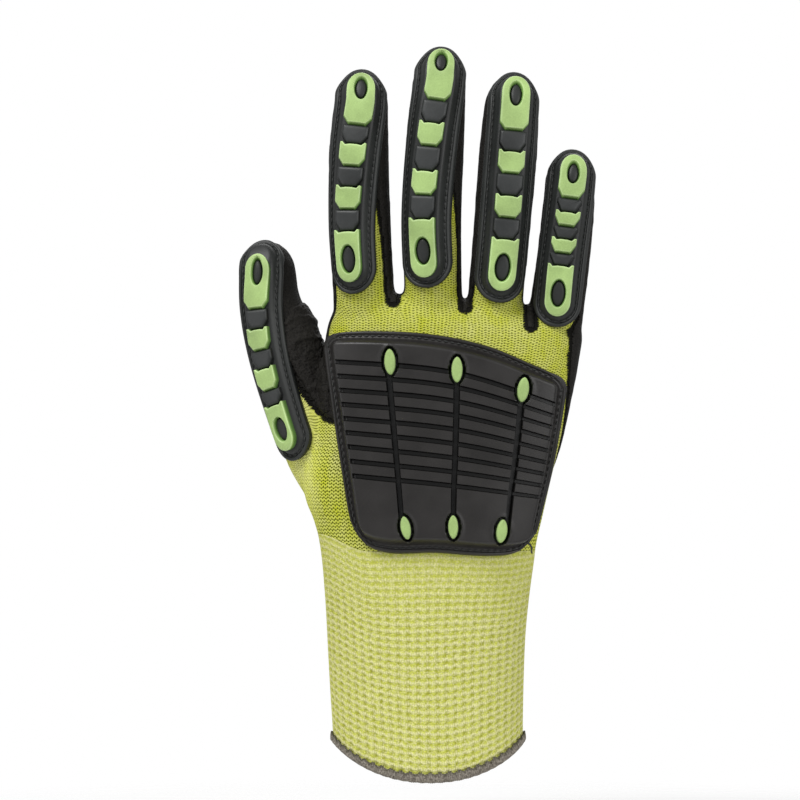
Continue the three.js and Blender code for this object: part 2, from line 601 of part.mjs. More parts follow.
function backPad() {
  const flangeU = 2.6 / padSize.across;
  const flangeV = 2.6 / padSize.down;
  const bodyU = 4.2 / padSize.across;
  const bodyV = 4.4 / padSize.down;
  const grooveU = [0.07, 0.945];
  const grooveV = grooves.half / padSize.down;
  const channelU = channels.half / padSize.across;
  const grooveCentres = shares(grooves.first, grooves.last, grooves.count);
  const channelEnds = [0.15, 0.87];

  // lines of the grid stand on every edge that the pad's relief has
  const channelLines = channels.at.flatMap((u) => [u - channelU, u, u + channelU]);
  const uLines = [0, flangeU, bodyU, grooveU[0], grooveU[1], 1 - bodyU, 1 - flangeU, 1, ...channelLines];
  const vLines = [0, flangeV, bodyV, channelEnds[0] - 0.02, channelEnds[1], 1 - bodyV, 1 - flangeV, 1];
  grooveCentres.forEach((v) => vLines.push(v - grooveV, v, v + grooveV));
  const ascending = (a, b) => a - b;
  uLines.sort(ascending);
  vLines.sort(ascending);

  const heightAt = (u, v) => {
    if (Math.min(u, 1 - u) < bodyU - 1e-6 || Math.min(v, 1 - v) < bodyV - 1e-6) return padHeights.flange;
    const inGroove = u > grooveU[0] + 1e-6 && u < grooveU[1] - 1e-6
      && grooveCentres.some((centre) => Math.abs(v - centre) < 0.5 * grooveV);
    const inChannel = v > channelEnds[0] && v < channelEnds[1] + 1e-6
      && channels.at.some((centre) => Math.abs(u - centre) < 0.6 * channelU);
    if (inChannel) return padHeights.channel;
    return inGroove ? padHeights.groove : padHeights.body;
  };

  const gridOf = (us, vs, height) =>
    vs.map((v) => us.map((u) => {
      const { x, z } = padPlace(u, v);
      return padPoint(x, z, height(u, v));
    }));
  const top = gridOf(uLines, vLines, heightAt);
  const bottomU = shares(0, 1, 11);
  const bottomV = shares(0, 1, 7);
  const bottom = gridOf(bottomU, bottomV, () => padHeights.bottom);
  const points = [...top.flat(), ...bottom.flat()];
  const topCount = top.flat().length;
  const triangles = [];
  const fill = (rows, columns, base) => {
    for (let i = 0; i + 1 < rows; i++) {
      for (let j = 0; j + 1 < columns; j++) {
        const a = base + i * columns + j;
        const quad = [[a, a + 1, a + columns + 1], [a, a + columns + 1, a + columns]];
        triangles.push(...(base ? quad.map((t) => t.reverse()) : quad));
      }
    }
  };
  fill(vLines.length, uLines.length, 0);
  fill(bottomV.length, bottomU.length, topCount);

  // the side wall zips the two rims together, each named by how far round the outline its points lie
  const rim = (us, vs, base) => {
    const at = (i, j) => base + i * us.length + j;
    const [lastI, lastJ] = [vs.length - 1, us.length - 1];
    return [
      ...us.map((u, j) => [u, at(0, j)]).slice(0, -1),
      ...vs.map((v, i) => [1 + v, at(i, lastJ)]).slice(0, -1),
      ...us.map((u, j) => [3 - u, at(lastI, j)]).reverse().slice(0, -1),
      ...vs.map((v, i) => [4 - v, at(i, 0)]).reverse().slice(0, -1),
    ];
  };
  const upperRim = rim(uLines, vLines, 0);
  const lowerRim = rim(bottomU, bottomV, topCount);
  upperRim.push([4, upperRim[0][1]]);
  lowerRim.push([4, lowerRim[0][1]]);
  let [a, b] = [0, 0];
  while (a < upperRim.length - 1 || b < lowerRim.length - 1) {
    const stepUpper = b === lowerRim.length - 1
      || (a < upperRim.length - 1 && upperRim[a + 1][0] <= lowerRim[b + 1][0]);
    if (stepUpper) {
      triangles.push([upperRim[a + 1][1], upperRim[a][1], lowerRim[b][1]]);
      a += 1;
    } else {
      triangles.push([upperRim[a][1], lowerRim[b][1], lowerRim[b + 1][1]]);
      b += 1;
    }
  }
  return solidFrom(geometryOf(points, triangles));
}

// Studs: one row for each, as centre, half-length, half-width and lean towards the little finger in degrees
const studs = [
  { x: -13.7, z: 140.7, length: 4.9, width: 2, lean: -2 },
  { x: 10.7, z: 137.6, length: 4.9, width: 2.1, lean: 1 },
  { x: 34.4, z: 130.8, length: 4.8, width: 2, lean: 8 },
  { x: -8, z: 80.7, length: 4.5, width: 1.85, lean: -11 },
  { x: 9.2, z: 81, length: 4.5, width: 1.85, lean: 0 },
  { x: 26.7, z: 79.6, length: 4.5, width: 1.85, lean: 9 },
];

// A lens-shaped prism on the pad: two arcs meeting in rounded points
function lensPrism(stud, grow, low, high, topShrink) {
  const sides = 8;
  const lean = THREE.MathUtils.degToRad(stud.lean);
  const ring = (h, shrink) =>
    Array.from({ length: sides }, (_, k) => {
      const a = (2 * Math.PI * k) / sides;
      const along = (stud.length + grow - shrink) * Math.sin(a);
      const across = (stud.width + grow - shrink) * Math.cos(a);
      return padPoint(stud.x + across * Math.cos(lean) + along * Math.sin(lean), stud.z + along * Math.cos(lean) - across * Math.sin(lean), h);
    });
  const rings = [ring(low, 0), ring(high, topShrink)];
  return loftedBody(rings, middleOf(rings[0]), middleOf(rings[1]));
}

// Coating: everything on the palm's side of a line down the hand's and each finger's side, and round the thumb.
// Rows give the line below the fingers, as Y over height; on the fingers it keeps to their middles.
const handDip = [[14, 66], [12, 86], [3, 104], [-5, 124], [-8.5, 143], [-8.5, 150], [-7, 161]];
const dipBehind = 0.8;

function coatingRegion() {
  const sideways = new THREE.Matrix4().makeBasis(new THREE.Vector3(0, 1, 0), up, new THREE.Vector3(1, 0, 0));
  const zones = uprightFingers.map((name) => {
    const { rows, tip, guard } = fingers[name];
    const [left, right] = stallLimits[name];
    const start = name === "index" ? -60 : left - 0.5;
    const onHand = handDip.filter(([, z]) => z < guard.from - 2);
    const onFinger = [...rows.slice(1), tip].map((row) => [row.y + dipBehind, row.z]);
    const outline = [[45, 66], ...onHand, ...onFinger, [tip.y, 300], [45, 300]];
    const matrix = sideways.clone().setPosition(start, 0, 0);
    return slabFrom(outline, right - start, matrix);
  });
  // the thumb is coated all round above a slanting line, and on its palm side down to the wrist
  const facing = new THREE.Matrix4().makeRotationX(Math.PI / 2).setPosition(0, 45, 0);
  const aboveLine = [[-75, 146], [-51, 136], [-41.5, 123], [-34, 117.5], [-34, 152], [-40, 163], [-40, 200], [-75, 200]];
  const palmSide = new THREE.Matrix4().makeRotationX(Math.PI / 2).setPosition(0, 45, 0);
  zones.push(slabFrom(aboveLine, 90, facing));
  zones.push(slabFrom([[-75, 96], [-46, 72], [-30, 66], [-30, 150], [-75, 150]], 33, palmSide));
  return unite(zones);
}

// The surface that guards and coating rest on, and a layer of the given heights over the knit
const seat = wholeHand(seatGap, 60);
const layer = (from, to) => wholeHand(to, 62).subtract(from === seatGap ? seat : wholeHand(from, 60));

// Patch over the thumb crotch, as its outline from the back of the hand
const patchOutline = [[-49.5, 141], [-48, 135], [-42.5, 125], [-35.6, 119.6], [-37.8, 136], [-37.9, 152], [-41, 163], [-46, 161], [-49.5, 152]];

function crotchPatch(from, to) {
  const facing = new THREE.Matrix4().makeRotationX(Math.PI / 2).setPosition(0, 22, 0);
  const region = slabFrom(patchOutline, 50, facing);
  return layer(from, to).intersect(region);
}

// Assembly

const glove = new THREE.Group();

function piece(name, solid, material, parent = glove) {
  const mesh = new THREE.Mesh(geometryFrom(solid), material);
  mesh.name = name;
  parent.add(mesh);
  return mesh;
}

// Cuff and its overlocked edge
const hemLine = (angle) => {
  const faced = Math.sin(angle);
  return THREE.MathUtils.lerp(hem.side, faced < 0 ? hem.back : hem.palm, Math.abs(faced) ** hem.power);
};
const cuffHeights = [20, 48, cuffTop - seatGap];
const cuffOuter = [handRing((a) => hemLine(a) + hem.bandHeight + seatGap, 0), ...cuffHeights.map((z) => handRing(() => z, 0))];
const cuffInner = [handRing((a) => hemLine(a) + hem.bandHeight + seatGap, -cuffWall), ...cuffHeights.map((z) => handRing(() => z, -cuffWall))];
piece("cuff_knit", loftedTube([...cuffOuter, ...cuffInner.reverse()]), cuffYellow);
piece("cuff_overlock", loftedTube([
  handRing((a) => hemLine(a) + hem.bandHeight, hem.proud),
  handRing((a) => hemLine(a), hem.proud),
  handRing((a) => hemLine(a), -cuffWall - hem.proud),
  handRing((a) => hemLine(a) + hem.bandHeight, -cuffWall - hem.proud),
]), overlockGrey);

// Knitted hand and stalls, cut from one hollow shell
const shell = wholeHand(0, cuffTop).subtract(wholeHand(-knitWall, 60));
const facingBand = new THREE.Matrix4().makeRotationX(Math.PI / 2).setPosition(0, 45, 0);
const stalls = new THREE.Group();
glove.add(stalls);
for (const name of fingerNames) {
  piece(name + "_stall", shell.intersect(stallRegion(name, 0)), knitYellow, stalls);
}
const handShell = shell.subtract(unite(fingerNames.map((name) => stallRegion(name, seatGap))));
for (const { name, lower, upper } of handParts) {
  const outline = [...lower, ...upper.map(([x, z]) => [x, z - seatGap]).reverse()];
  const band = slabFrom(outline, 90, facingBand);
  piece(name, handShell.intersect(band), knitYellow);
}

// Coating and crotch patch
const coatTop = seatGap + coatThickness;
const guardPaths = Object.fromEntries(fingerNames.map((name) => [name, guardPath(fingers[name])]));
const room = guardRoom(fingers.thumb, guardPaths.thumb);
const coating = layer(seatGap, coatTop).intersect(coatingRegion());
piece("palm_coating", coating.subtract(room), nitrileBlack);
const patch = crotchPatch(coatTop + seatGap, coatTop + seatGap + patchThickness);
piece("thumb_crotch_patch", patch.subtract(room), nitrileBlack);

// Finger guards, each with four green inserts
for (const name of fingerNames) {
  const finger = fingers[name];
  const path = guardPaths[name];
  const guard = new THREE.Group();
  glove.add(guard);
  piece(name + "_guard", guardBase(finger, path, seat), mouldedBlack, guard);
  const inserts = guardInserts(finger, path);
  for (const [place, solid] of Object.entries(inserts)) piece(name + "_insert_" + place, solid, mouldedGreen, guard);
}

// Back pad, with a pocket for each stud
const pockets = unite(studs.map((stud) => lensPrism(stud, 0.8, padHeights.channel, 9, 0)));
piece("back_pad", backPad().subtract(pockets), mouldedBlack);
studs.forEach((stud, i) => {
  const solid = lensPrism(stud, 0, padHeights.channel + seatGap, padHeights.stud, 0.35);
  piece("pad_stud_" + (i + 1), solid, mouldedGreen);
});

export default glove;
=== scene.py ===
import math
from contextlib import contextmanager

import bmesh
import bpy
import numpy as np
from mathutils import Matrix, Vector, noise
from mathutils.bvhtree import BVHTree


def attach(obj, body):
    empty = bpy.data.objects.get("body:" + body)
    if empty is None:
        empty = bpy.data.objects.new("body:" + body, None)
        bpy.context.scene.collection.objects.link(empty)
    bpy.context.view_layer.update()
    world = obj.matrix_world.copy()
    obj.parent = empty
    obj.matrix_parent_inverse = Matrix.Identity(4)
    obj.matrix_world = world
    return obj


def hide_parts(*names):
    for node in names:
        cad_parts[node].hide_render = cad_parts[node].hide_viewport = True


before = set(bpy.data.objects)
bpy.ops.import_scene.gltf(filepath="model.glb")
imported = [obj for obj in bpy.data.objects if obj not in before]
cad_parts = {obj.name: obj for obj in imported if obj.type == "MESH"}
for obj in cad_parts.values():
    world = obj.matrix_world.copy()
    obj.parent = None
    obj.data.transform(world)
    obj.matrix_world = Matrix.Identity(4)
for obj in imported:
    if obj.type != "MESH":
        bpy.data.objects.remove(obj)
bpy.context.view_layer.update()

# A right-hand cut-resistant impact glove, seen from the back. Sizes are millimetres until a mesh is made.
# X runs to the little finger, Z to the fingertips, and the back of the hand faces -Y.

print("tables of the hand")

# one row for each cross-section: height, X limits, Y limits, superellipse power and lean of the webs
handRows = np.array([
    # z, left, right, back, palm, power, tilt
    [-16, -33.6, 33.9, -23.6, 23.6, 2.1, 0],
    [0, -33.9, 34.1, -23, 23, 2.1, 0],
    [20, -34.8, 34, -22, 22, 2.1, 0],
    [40, -36.1, 34.9, -21, 21, 2.1, 0],
    [58, -37.3, 36.7, -20, 20.2, 2.2, 0],
    [74, -38.7, 38.8, -19.3, 20.2, 2.4, 0],
    [83, -41, 40.7, -18.9, 20.6, 2.55, 0],
    [92, -44.4, 42.7, -18.5, 20.9, 2.7, 0],
    [101, -44.8, 44.9, -18.1, 20.5, 2.8, 0],
    [114, -40, 48.1, -17.6, 19.2, 2.9, 0],
    [146, -36.6, 54.4, -15.4, 14.8, 2.9, 0],
    [155, -34.2, 54, -13.3, 12.8, 2.8, 0.05],
    [161, -28, 47.5, -8.6, 8.6, 2.5, 0.085],
])

# Each stall has rows of centre, half-width, half-depth and its guard's roll in degrees, then its tip. The guard
# has the height of its wrist end and its half-width, the inserts have the heights where green begins and ends.
fingers = {
    "thumb": {
        "rows": [(-25, 2, 80, 9.5, 10.5, -36), (-37.4, 5.5, 106, 13, 13, -37),
                 (-45.1, 7.5, 128, 13.4, 11.8, -38), (-51.7, 8.5, 147, 12.6, 10.6, -33),
                 (-56.6, 9.2, 161, 10.1, 9.5, -22), (-57.8, 10, 171.5, 9.5, 8.8, -15)],
        "tip": (-58.2, 11.5, 182.8), "guard": (105.2, 8.3),
        "inserts": {"base": (108.6, 125.1), "lower": (130.1, 138.3), "upper": (144.4, 152.6),
                    "tip": (159.3, 179.6)},
    },
    "index": {
        "rows": [(-23, 0, 140, 10.3, 9.3, -20), (-23.2, -1.5, 165, 10.3, 9.3, -19),
                 (-24.5, -1.4, 190, 10.4, 9.1, -19), (-24.9, -0.1, 215, 10.1, 8.7, -9),
                 (-24.2, 2.3, 231.5, 9.2, 7.8, -1)],
        "tip": (-23.6, 5, 244), "guard": (164.4, 9.4),
        "inserts": {"base": (168.8, 187.6), "lower": (194.8, 203.5), "upper": (210.3, 219),
                    "tip": (225.3, 244.5)},
    },
    "middle": {
        "rows": [(1.5, 0, 140, 9.9, 9.3, -11), (1.6, -1.8, 165, 9.9, 9.3, -11), (1.3, -1.7, 193, 10, 9.1, -15),
                 (2.6, -0.1, 221, 9.8, 8.7, -8), (4, 2.8, 239.5, 9, 7.8, 0)],
        "tip": (5, 5.6, 252.2), "guard": (166.2, 9.4),
        "inserts": {"base": (170.4, 191.9), "lower": (200, 209.2), "upper": (217.6, 226.6),
                    "tip": (234.3, 253.2)},
    },
    "ring": {
        "rows": [(23, 0, 140, 9.7, 9.3, 5), (24.4, -1.5, 163, 9.4, 9.1, 5), (26.5, -1.4, 188, 9.5, 8.8, 6),
                 (28.7, 0, 214, 9.8, 8.5, 5), (30, 2.3, 230.5, 9.3, 7.8, 5)],
        "tip": (30.9, 5, 243), "guard": (161.4, 9.3),
        "inserts": {"base": (165.6, 184.7), "lower": (191.7, 200.3), "upper": (207.7, 216.2),
                    "tip": (223.3, 243.3)},
    },
    "little": {
        "rows": [(44, 0, 137, 8.9, 8.8, -1), (46, -0.8, 157, 9.1, 8.6, -1), (48.5, -0.7, 176, 8.9, 8.3, -4),
                 (50.4, 0.4, 194, 8.7, 8, -1), (51.1, 1.8, 204.5, 8.3, 7.4, 3)],
        "tip": (52, 4, 215), "guard": (152.7, 8.8),
        "inserts": {"base": (156.6, 175.3), "lower": (179.1, 184.8), "upper": (188.8, 194.5),
                    "tip": (199, 215.1)},
    },
}
uprightFingers = ["index", "middle", "ring", "little"]


def unit(vectors):
    return vectors / np.maximum(np.linalg.norm(vectors, axis=-1, keepdims=True), 1e-12)


def smoothStep(low, high, value):
    t = np.clip((np.asarray(value, float) - low) / (high - low), 0, 1)
    return t * t * (3 - 2 * t)


# a smooth curve through a table: xs rise, and ys hold one value or one row of values for each
def throughTable(at, xs, ys):
    xs, ys = np.asarray(xs, float), np.asarray(ys, float)
    at = np.clip(np.asarray(at, float), xs[0], xs[-1])
    i = np.clip(np.searchsorted(xs, at, side="left"), 1, len(xs) - 1)
    before = np.maximum(np.arange(len(xs)) - 1, 0)
    after = np.minimum(np.arange(len(xs)) + 1, len(xs) - 1)
    wide = (xs[after] - xs[before]) if ys.ndim == 1 else (xs[after] - xs[before])[:, None]
    slopes = (ys[after] - ys[before]) / wide
    span = xs[i] - xs[i - 1]
    t = (at - xs[i - 1]) / span
    if ys.ndim > 1:
        span, t = span[..., None], t[..., None]
    return ((2 * t**3 - 3 * t**2 + 1) * ys[i - 1] + (t**3 - 2 * t**2 + t) * span * slopes[i - 1]
            + (3 * t**2 - 2 * t**3) * ys[i] + (t**3 - t**2) * span * slopes[i])


# a curve in space through points, steps + 1 samples long, evenly shared between the points
def throughSpace(points, steps):
    points = np.asarray(points, float)
    padded = np.vstack([2 * points[0] - points[1], points, 2 * points[-1] - points[-2]])
    t = np.linspace(0, len(points) - 1, steps + 1)
    i = np.minimum(t.astype(int), len(points) - 2)
    w = (t - i)[:, None]
    p0, p1, p2, p3 = padded[i], padded[i + 1], padded[i + 2], padded[i + 3]
    ends = ((p0, p1), (p1, p2), (p2, p3))
    gaps = [np.maximum(np.sqrt(np.linalg.norm(b - a, axis=1)), 1e-4)[:, None] for a, b in ends]
    leave = ((p1 - p0) / gaps[0] - (p2 - p0) / (gaps[0] + gaps[1]) + (p2 - p1) / gaps[1]) * gaps[1]
    arrive = ((p2 - p1) / gaps[1] - (p3 - p1) / (gaps[1] + gaps[2]) + (p3 - p2) / gaps[2]) * gaps[1]
    return ((2 * w**3 - 3 * w**2 + 1) * p1 + (w**3 - 2 * w**2 + w) * leave
            + (3 * w**2 - 2 * w**3) * p2 + (w**3 - w**2) * arrive)


def handShape(z):
    return np.moveaxis(throughTable(z, handRows[:, 0], handRows[:, 1:]), -1, 0)


# a point of cuff or hand, grown outwards by offset; angle 0 is the little finger's side
def handPoint(z, angle, offset):
    left, right, back, palm, power, tilt = handShape(z)
    z, angle = np.broadcast_arrays(np.asarray(z, float), np.asarray(angle, float))
    co, si = np.cos(angle), np.sin(angle)
    x = (left + right) / 2 + ((right - left) / 2 + offset) * np.sign(co) * np.abs(co) ** (2 / power)
    depth = np.where(si < 0, -back, palm)
    y = (depth + offset) * np.sign(si) * np.abs(si) ** (2 / power)
    return np.stack([x, y, z - tilt * x], -1)


# a stall's centre, its directions along, across and out of its back, half-width, half-depth and roll
def fingerFrame(name, at):
    rows, tip = np.array(fingers[name]["rows"], float), np.array(fingers[name]["tip"], float)
    centres = np.vstack([rows[:, :3], tip])
    along = unit(np.array([centres[i + 1] - centres[max(i - 1, 0)] for i in range(len(rows))]))
    table = np.hstack([rows, along])
    found = throughTable(at, np.arange(len(rows)), table)
    along = unit(found[..., 6:9])
    out = np.array([0, -1, 0]) + along * along[..., 1:2]
    out = unit(out)
    halfWidth, halfDepth, roll = found[..., 3], found[..., 4], np.radians(found[..., 5])
    return found[..., :3], along, np.cross(along, out), out, halfWidth, halfDepth, roll


# Meshes

def makeObject(name, points, faces, smooth=True, scale=0.001):
    mesh = bpy.data.meshes.new(name)
    mesh.from_pydata((np.asarray(points, float) * scale).tolist(), [], [list(map(int, f)) for f in faces])
    mesh.polygons.foreach_set("use_smooth", [smooth] * len(mesh.polygons))
    mesh.update()
    made = bpy.data.objects.new(name, mesh)
    bpy.context.scene.collection.objects.link(made)
    return made


# opens a mesh for bmesh's tools and puts the changed one back
@contextmanager
def editing(mesh):
    work = bmesh.new()
    work.from_mesh(mesh)
    yield work
    work.to_mesh(mesh)
    work.free()


def facesOutward(obj):
    with editing(obj.data) as work:
        bmesh.ops.remove_doubles(work, verts=work.verts, dist=1e-6)
        bmesh.ops.recalc_face_normals(work, faces=work.faces)
    return obj


# creases stay sharp where two faces meet at more than the given angle
def keepCreases(obj, degrees):
    obj.data.set_sharp_from_angle(angle=math.radians(degrees))
    return obj


def setAttribute(obj, name, kind, values):
    made = obj.data.attributes.new(name, kind, "POINT")
    made.data.foreach_set("value" if kind == "FLOAT" else "vector", np.asarray(values, np.float32).ravel())


def pointsOf(obj):
    co = np.zeros(len(obj.data.vertices) * 3, np.float32)
    obj.data.vertices.foreach_get("co", co)
    return co.reshape(-1, 3).astype(float) * 1000


def normalsOf(obj):
    co = np.zeros(len(obj.data.vertices) * 3, np.float32)
    obj.data.vertex_normals.foreach_get("vector", co)
    return co.reshape(-1, 3).astype(float)


def finishPiece(obj, nodes, material):
    obj.data.materials.clear()
    obj.data.materials.append(material)
    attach(obj, "root")
    if nodes:
        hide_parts(*nodes)
    return obj


# quads between rings of equal length, each ring closed round
def ringFaces(ringStarts, sides, closedLoop=False):
    faces = []
    pairs = list(zip(ringStarts, ringStarts[1:]))
    if closedLoop:
        pairs.append((ringStarts[-1], ringStarts[0]))
    for a, b in pairs:
        for k in range(sides):
            n = (k + 1) % sides
            faces.append((a + k, a + n, b + n, b + k))
    return faces


# several parts' points and faces as one list of each
def joined(parts):
    points, faces, count = [], [], 0
    for partPoints, partFaces in parts:
        points.append(partPoints)
        faces += [tuple(i + count for i in face) for face in partFaces]
        count += len(partPoints)
    return np.vstack(points), faces


# the faces whose points are all kept, counted anew, and which points those are
def keptFaces(faces, keep):
    kept = [f for f in faces if all(keep[list(f)])]
    used = np.unique(np.array([i for f in kept for i in f]))
    index = {int(v): i for i, v in enumerate(used)}
    return [tuple(index[int(i)] for i in f) for f in kept], used


# depth of each (x, z) point inside a polygon, negative outside
def depthInside(x, z, polygon):
    ring = np.array(polygon, float)
    p = np.stack([x, z], -1)[:, None, :]
    a, b = ring[None], np.roll(ring, -1, 0)[None]
    t = np.clip(((p - a) * (b - a)).sum(-1) / ((b - a) ** 2).sum(-1), 0, 1)
    nearest = np.linalg.norm(p - (a + t[..., None] * (b - a)), axis=-1).min(1)
    ay, by = a[..., 1], b[..., 1]
    crosses = (ay > p[..., 1]) != (by > p[..., 1])
    with np.errstate(divide="ignore", invalid="ignore"):
        at = a[..., 0] + (p[..., 1] - ay) / (by - ay) * (b[..., 0] - a[..., 0])
    inside = (crosses & (p[..., 0] < at)).sum(1) % 2 == 1
    return np.where(inside, nearest, -nearest)


def noiseAt(points, size, seed=0.0):
    return np.array([noise.noise(Vector((p[0] / size + seed, p[1] / size, p[2] / size))) for p in points])


# Knitted hand and stalls

hand = {
    "cuffTop": 72.6,        # where the cuff's waffle ends and the hand's plain knit begins
    "cuffRise": 6,
    "voxel": 1.2,           # grain of the one-piece shell
    "smoothing": 6,         # how many times its steps are smoothed away
    "wall": 1.4,            # thickness of the knit
    "tipGrow": 0.6,         # fingertips a little fuller than the solids
    "foldDepth": 0.35,      # soft creases of the unworn fabric
    "tipCoated": 11,        # how far down from its tip a finger is coated all round
}

# where the coating begins round each stall, in degrees from the middle of its back, over height:
# first on the thumb's side, then on the little finger's
coatedFrom = {
    "index": ([(150, 72), (170, 68), (190, 62), (206, 54)],
              [(158, 50), (168, 45), (179, 45), (189, 40), (199, 31), (206, 24)]),
    "middle": ([(158, 88), (175, 82), (190, 68), (206, 55)],
               [(158, 64), (170, 60), (184, 62), (197, 51), (206, 36), (214, 26)]),
    "ring": ([(155, 66), (170, 57), (190, 52), (206, 45)], [(155, 86), (168, 82), (180, 66), (200, 52)]),
    "little": ([(145, 60), (160, 54), (180, 50), (200, 42)], [(145, 58), (160, 53), (180, 50), (200, 42)]),
}
# the tongues of coating in the crotches, seen from the back: x, lowest z and half-width
webDips = [(-12.6, 159.7, 3.0), (13.3, 157.3, 2.9), (36.9, 150.6, 2.9)]
# the coating's edge on the hand's sides, as Y over height
rightDip = [(62, 16), (72, 14), (86, 12), (104, 2), (124, -6.5), (143, -9.5), (161, -9)]
leftDip = [(62, 16), (100, 13), (118, 11), (135, 1), (147, -2), (161, -3)]
# the coating over the thumb, seen from the back
thumbDip = [(-85, 152), (-62, 146), (-51.5, 139), (-49.8, 135.5), (-46.5, 129.5), (-43.7, 125.6),
            (-40.4, 121.8), (-37.1, 119), (-33.5, 117.8), (-30, 117.5), (-30, 141), (-35, 147.5), (-36.6, 152),
            (-38, 165), (-40, 205), (-85, 205)]


# the waffle reaches higher on the thumb's side
def cuffTopAt(angle):
    return hand["cuffTop"] + hand["cuffRise"] * smoothStep(0.5, 1, -np.cos(angle))


def tubeOf(name, offset, sides=56, perStation=14):
    rowCount = len(fingers[name]["rows"])
    at = np.linspace(0, rowCount - 1, (rowCount - 1) * perStation + 1)
    centre, along, across, out, w, d, roll = fingerFrame(name, at)
    angle = np.linspace(0, 2 * np.pi, sides, endpoint=False)
    rings = (centre[:, None] + across[:, None] * ((w + offset)[:, None] * np.cos(angle))[..., None]
             + out[:, None] * ((d + offset)[:, None] * np.sin(angle))[..., None])
    rise = np.array(fingers[name]["tip"], float) - centre[-1]
    rise = rise + unit(rise) * (offset + hand["tipGrow"])
    domes = []
    for share in np.sin(np.linspace(0, np.pi / 2, 14)[1:-1]):
        scale = math.sqrt(1 - share**2)
        domes.append(centre[-1] + rise * share + (rings[-1] - centre[-1]) * scale)
    return np.concatenate([rings, np.array(domes)]), centre[0], centre[-1] + rise


def handTube(offset, sides=120):
    heights = np.concatenate([np.linspace(60, 154, 60), np.linspace(155, 161, 9)])
    angle = np.linspace(0, 2 * np.pi, sides, endpoint=False)
    rings = np.array([handPoint(z, angle, offset) for z in heights])
    rings[..., 2] += np.where(heights > 150, offset, 0)[:, None]
    caps = []
    last = rings[-1]
    middle = last.mean(0)
    for share in (0.4, 0.7, 0.9):
        scale = math.sqrt(1 - share**2)
        ring = middle + (last - middle) * np.array([0.86 + 0.14 * scale, scale, 1])
        ring[:, 2] += 2.2 * share
        caps.append(ring)
    top = caps[-1].mean(0) + np.array([0, 0, 0.3])
    return np.concatenate([rings, np.array(caps)]), rings[0].mean(0), top


def closedTube(rings, start, end):
    count, sides = rings.shape[:2]
    points = np.vstack([rings.reshape(-1, 3), start, end])
    faces = ringFaces([i * sides for i in range(count)], sides)
    first, last, top = count * sides, count * sides + 1, (count - 1) * sides
    for k in range(sides):
        n = (k + 1) % sides
        faces.append((first, n, k))
        faces.append((last, top + k, top + n))
    return points, faces


# Signed distance in millimetres into the dipped coating, positive where the knit is coated
def coatedDepth(points):
    x, y, z = points.T
    right, left = throughTable(z, *zip(*rightDip)), throughTable(z, *zip(*leftDip))
    side = smoothStep(-20, 20, x)
    onHand = y - (left * (1 - side) + right * side)
    onStall = np.full(len(points), -99.0)
    nearest = np.full(len(points), 1e9)
    for name in uprightFingers:
        rowCount = len(fingers[name]["rows"])
        at = np.linspace(0, rowCount - 1, 60)
        centre, along, across, out, w, d, roll = fingerFrame(name, at)
        which = np.argmin(np.abs(centre[None, :, 2] - z[:, None]), axis=1)
        away = points - centre[which]
        distance = np.linalg.norm(away, axis=1)
        a = (away * across[which]).sum(1) / w[which]
        b = (away * out[which]).sum(1) / d[which]
        turn = np.degrees(np.arctan2(a, b))
        thumbSide, littleSide = [throughTable(z, *zip(*table)) for table in coatedFrom[name]]
        depth = np.where(turn < 0, -turn - thumbSide, turn - littleSide) * 0.17
        depth = np.maximum(depth, z - fingers[name]["tip"][2] + hand["tipCoated"])
        closer = distance < nearest
        nearest = np.where(closer, distance, nearest)
        onStall = np.where(closer, depth, onStall)
    above = smoothStep(155, 164, z + 0.085 * (x + 12) * (x > -12))
    depth = onHand * (1 - above) + onStall * above
    for webX, webZ, half in webDips:
        below = np.maximum(webZ + half - z, 0)
        depth = np.maximum(depth, half - np.hypot(x - webX, below) - np.maximum(z - webZ - 14, 0))
    onThumb = depthInside(x, z, thumbDip)
    return np.where(x < -29, np.maximum(depth, onThumb), depth)


knitRows = {
    "stalls": (154, 166),       # heights where the rows turn from the hand to the stalls
    "thumbAside": (43, 51),     # how far out on the thumb's side they turn to its stall
    "thumbUp": (98, 114),       # and at which heights
    "thumbStart": (-50, 84),    # x and z where the thumb's rows begin
    "pulledAt": 118, "pulledOver": 16, "pulled": 0.14,      # below this height the rows lie further apart
    "narrowAt": 128, "narrowOver": 9, "narrow": 0.125,      # and below this one the loops are narrower
}


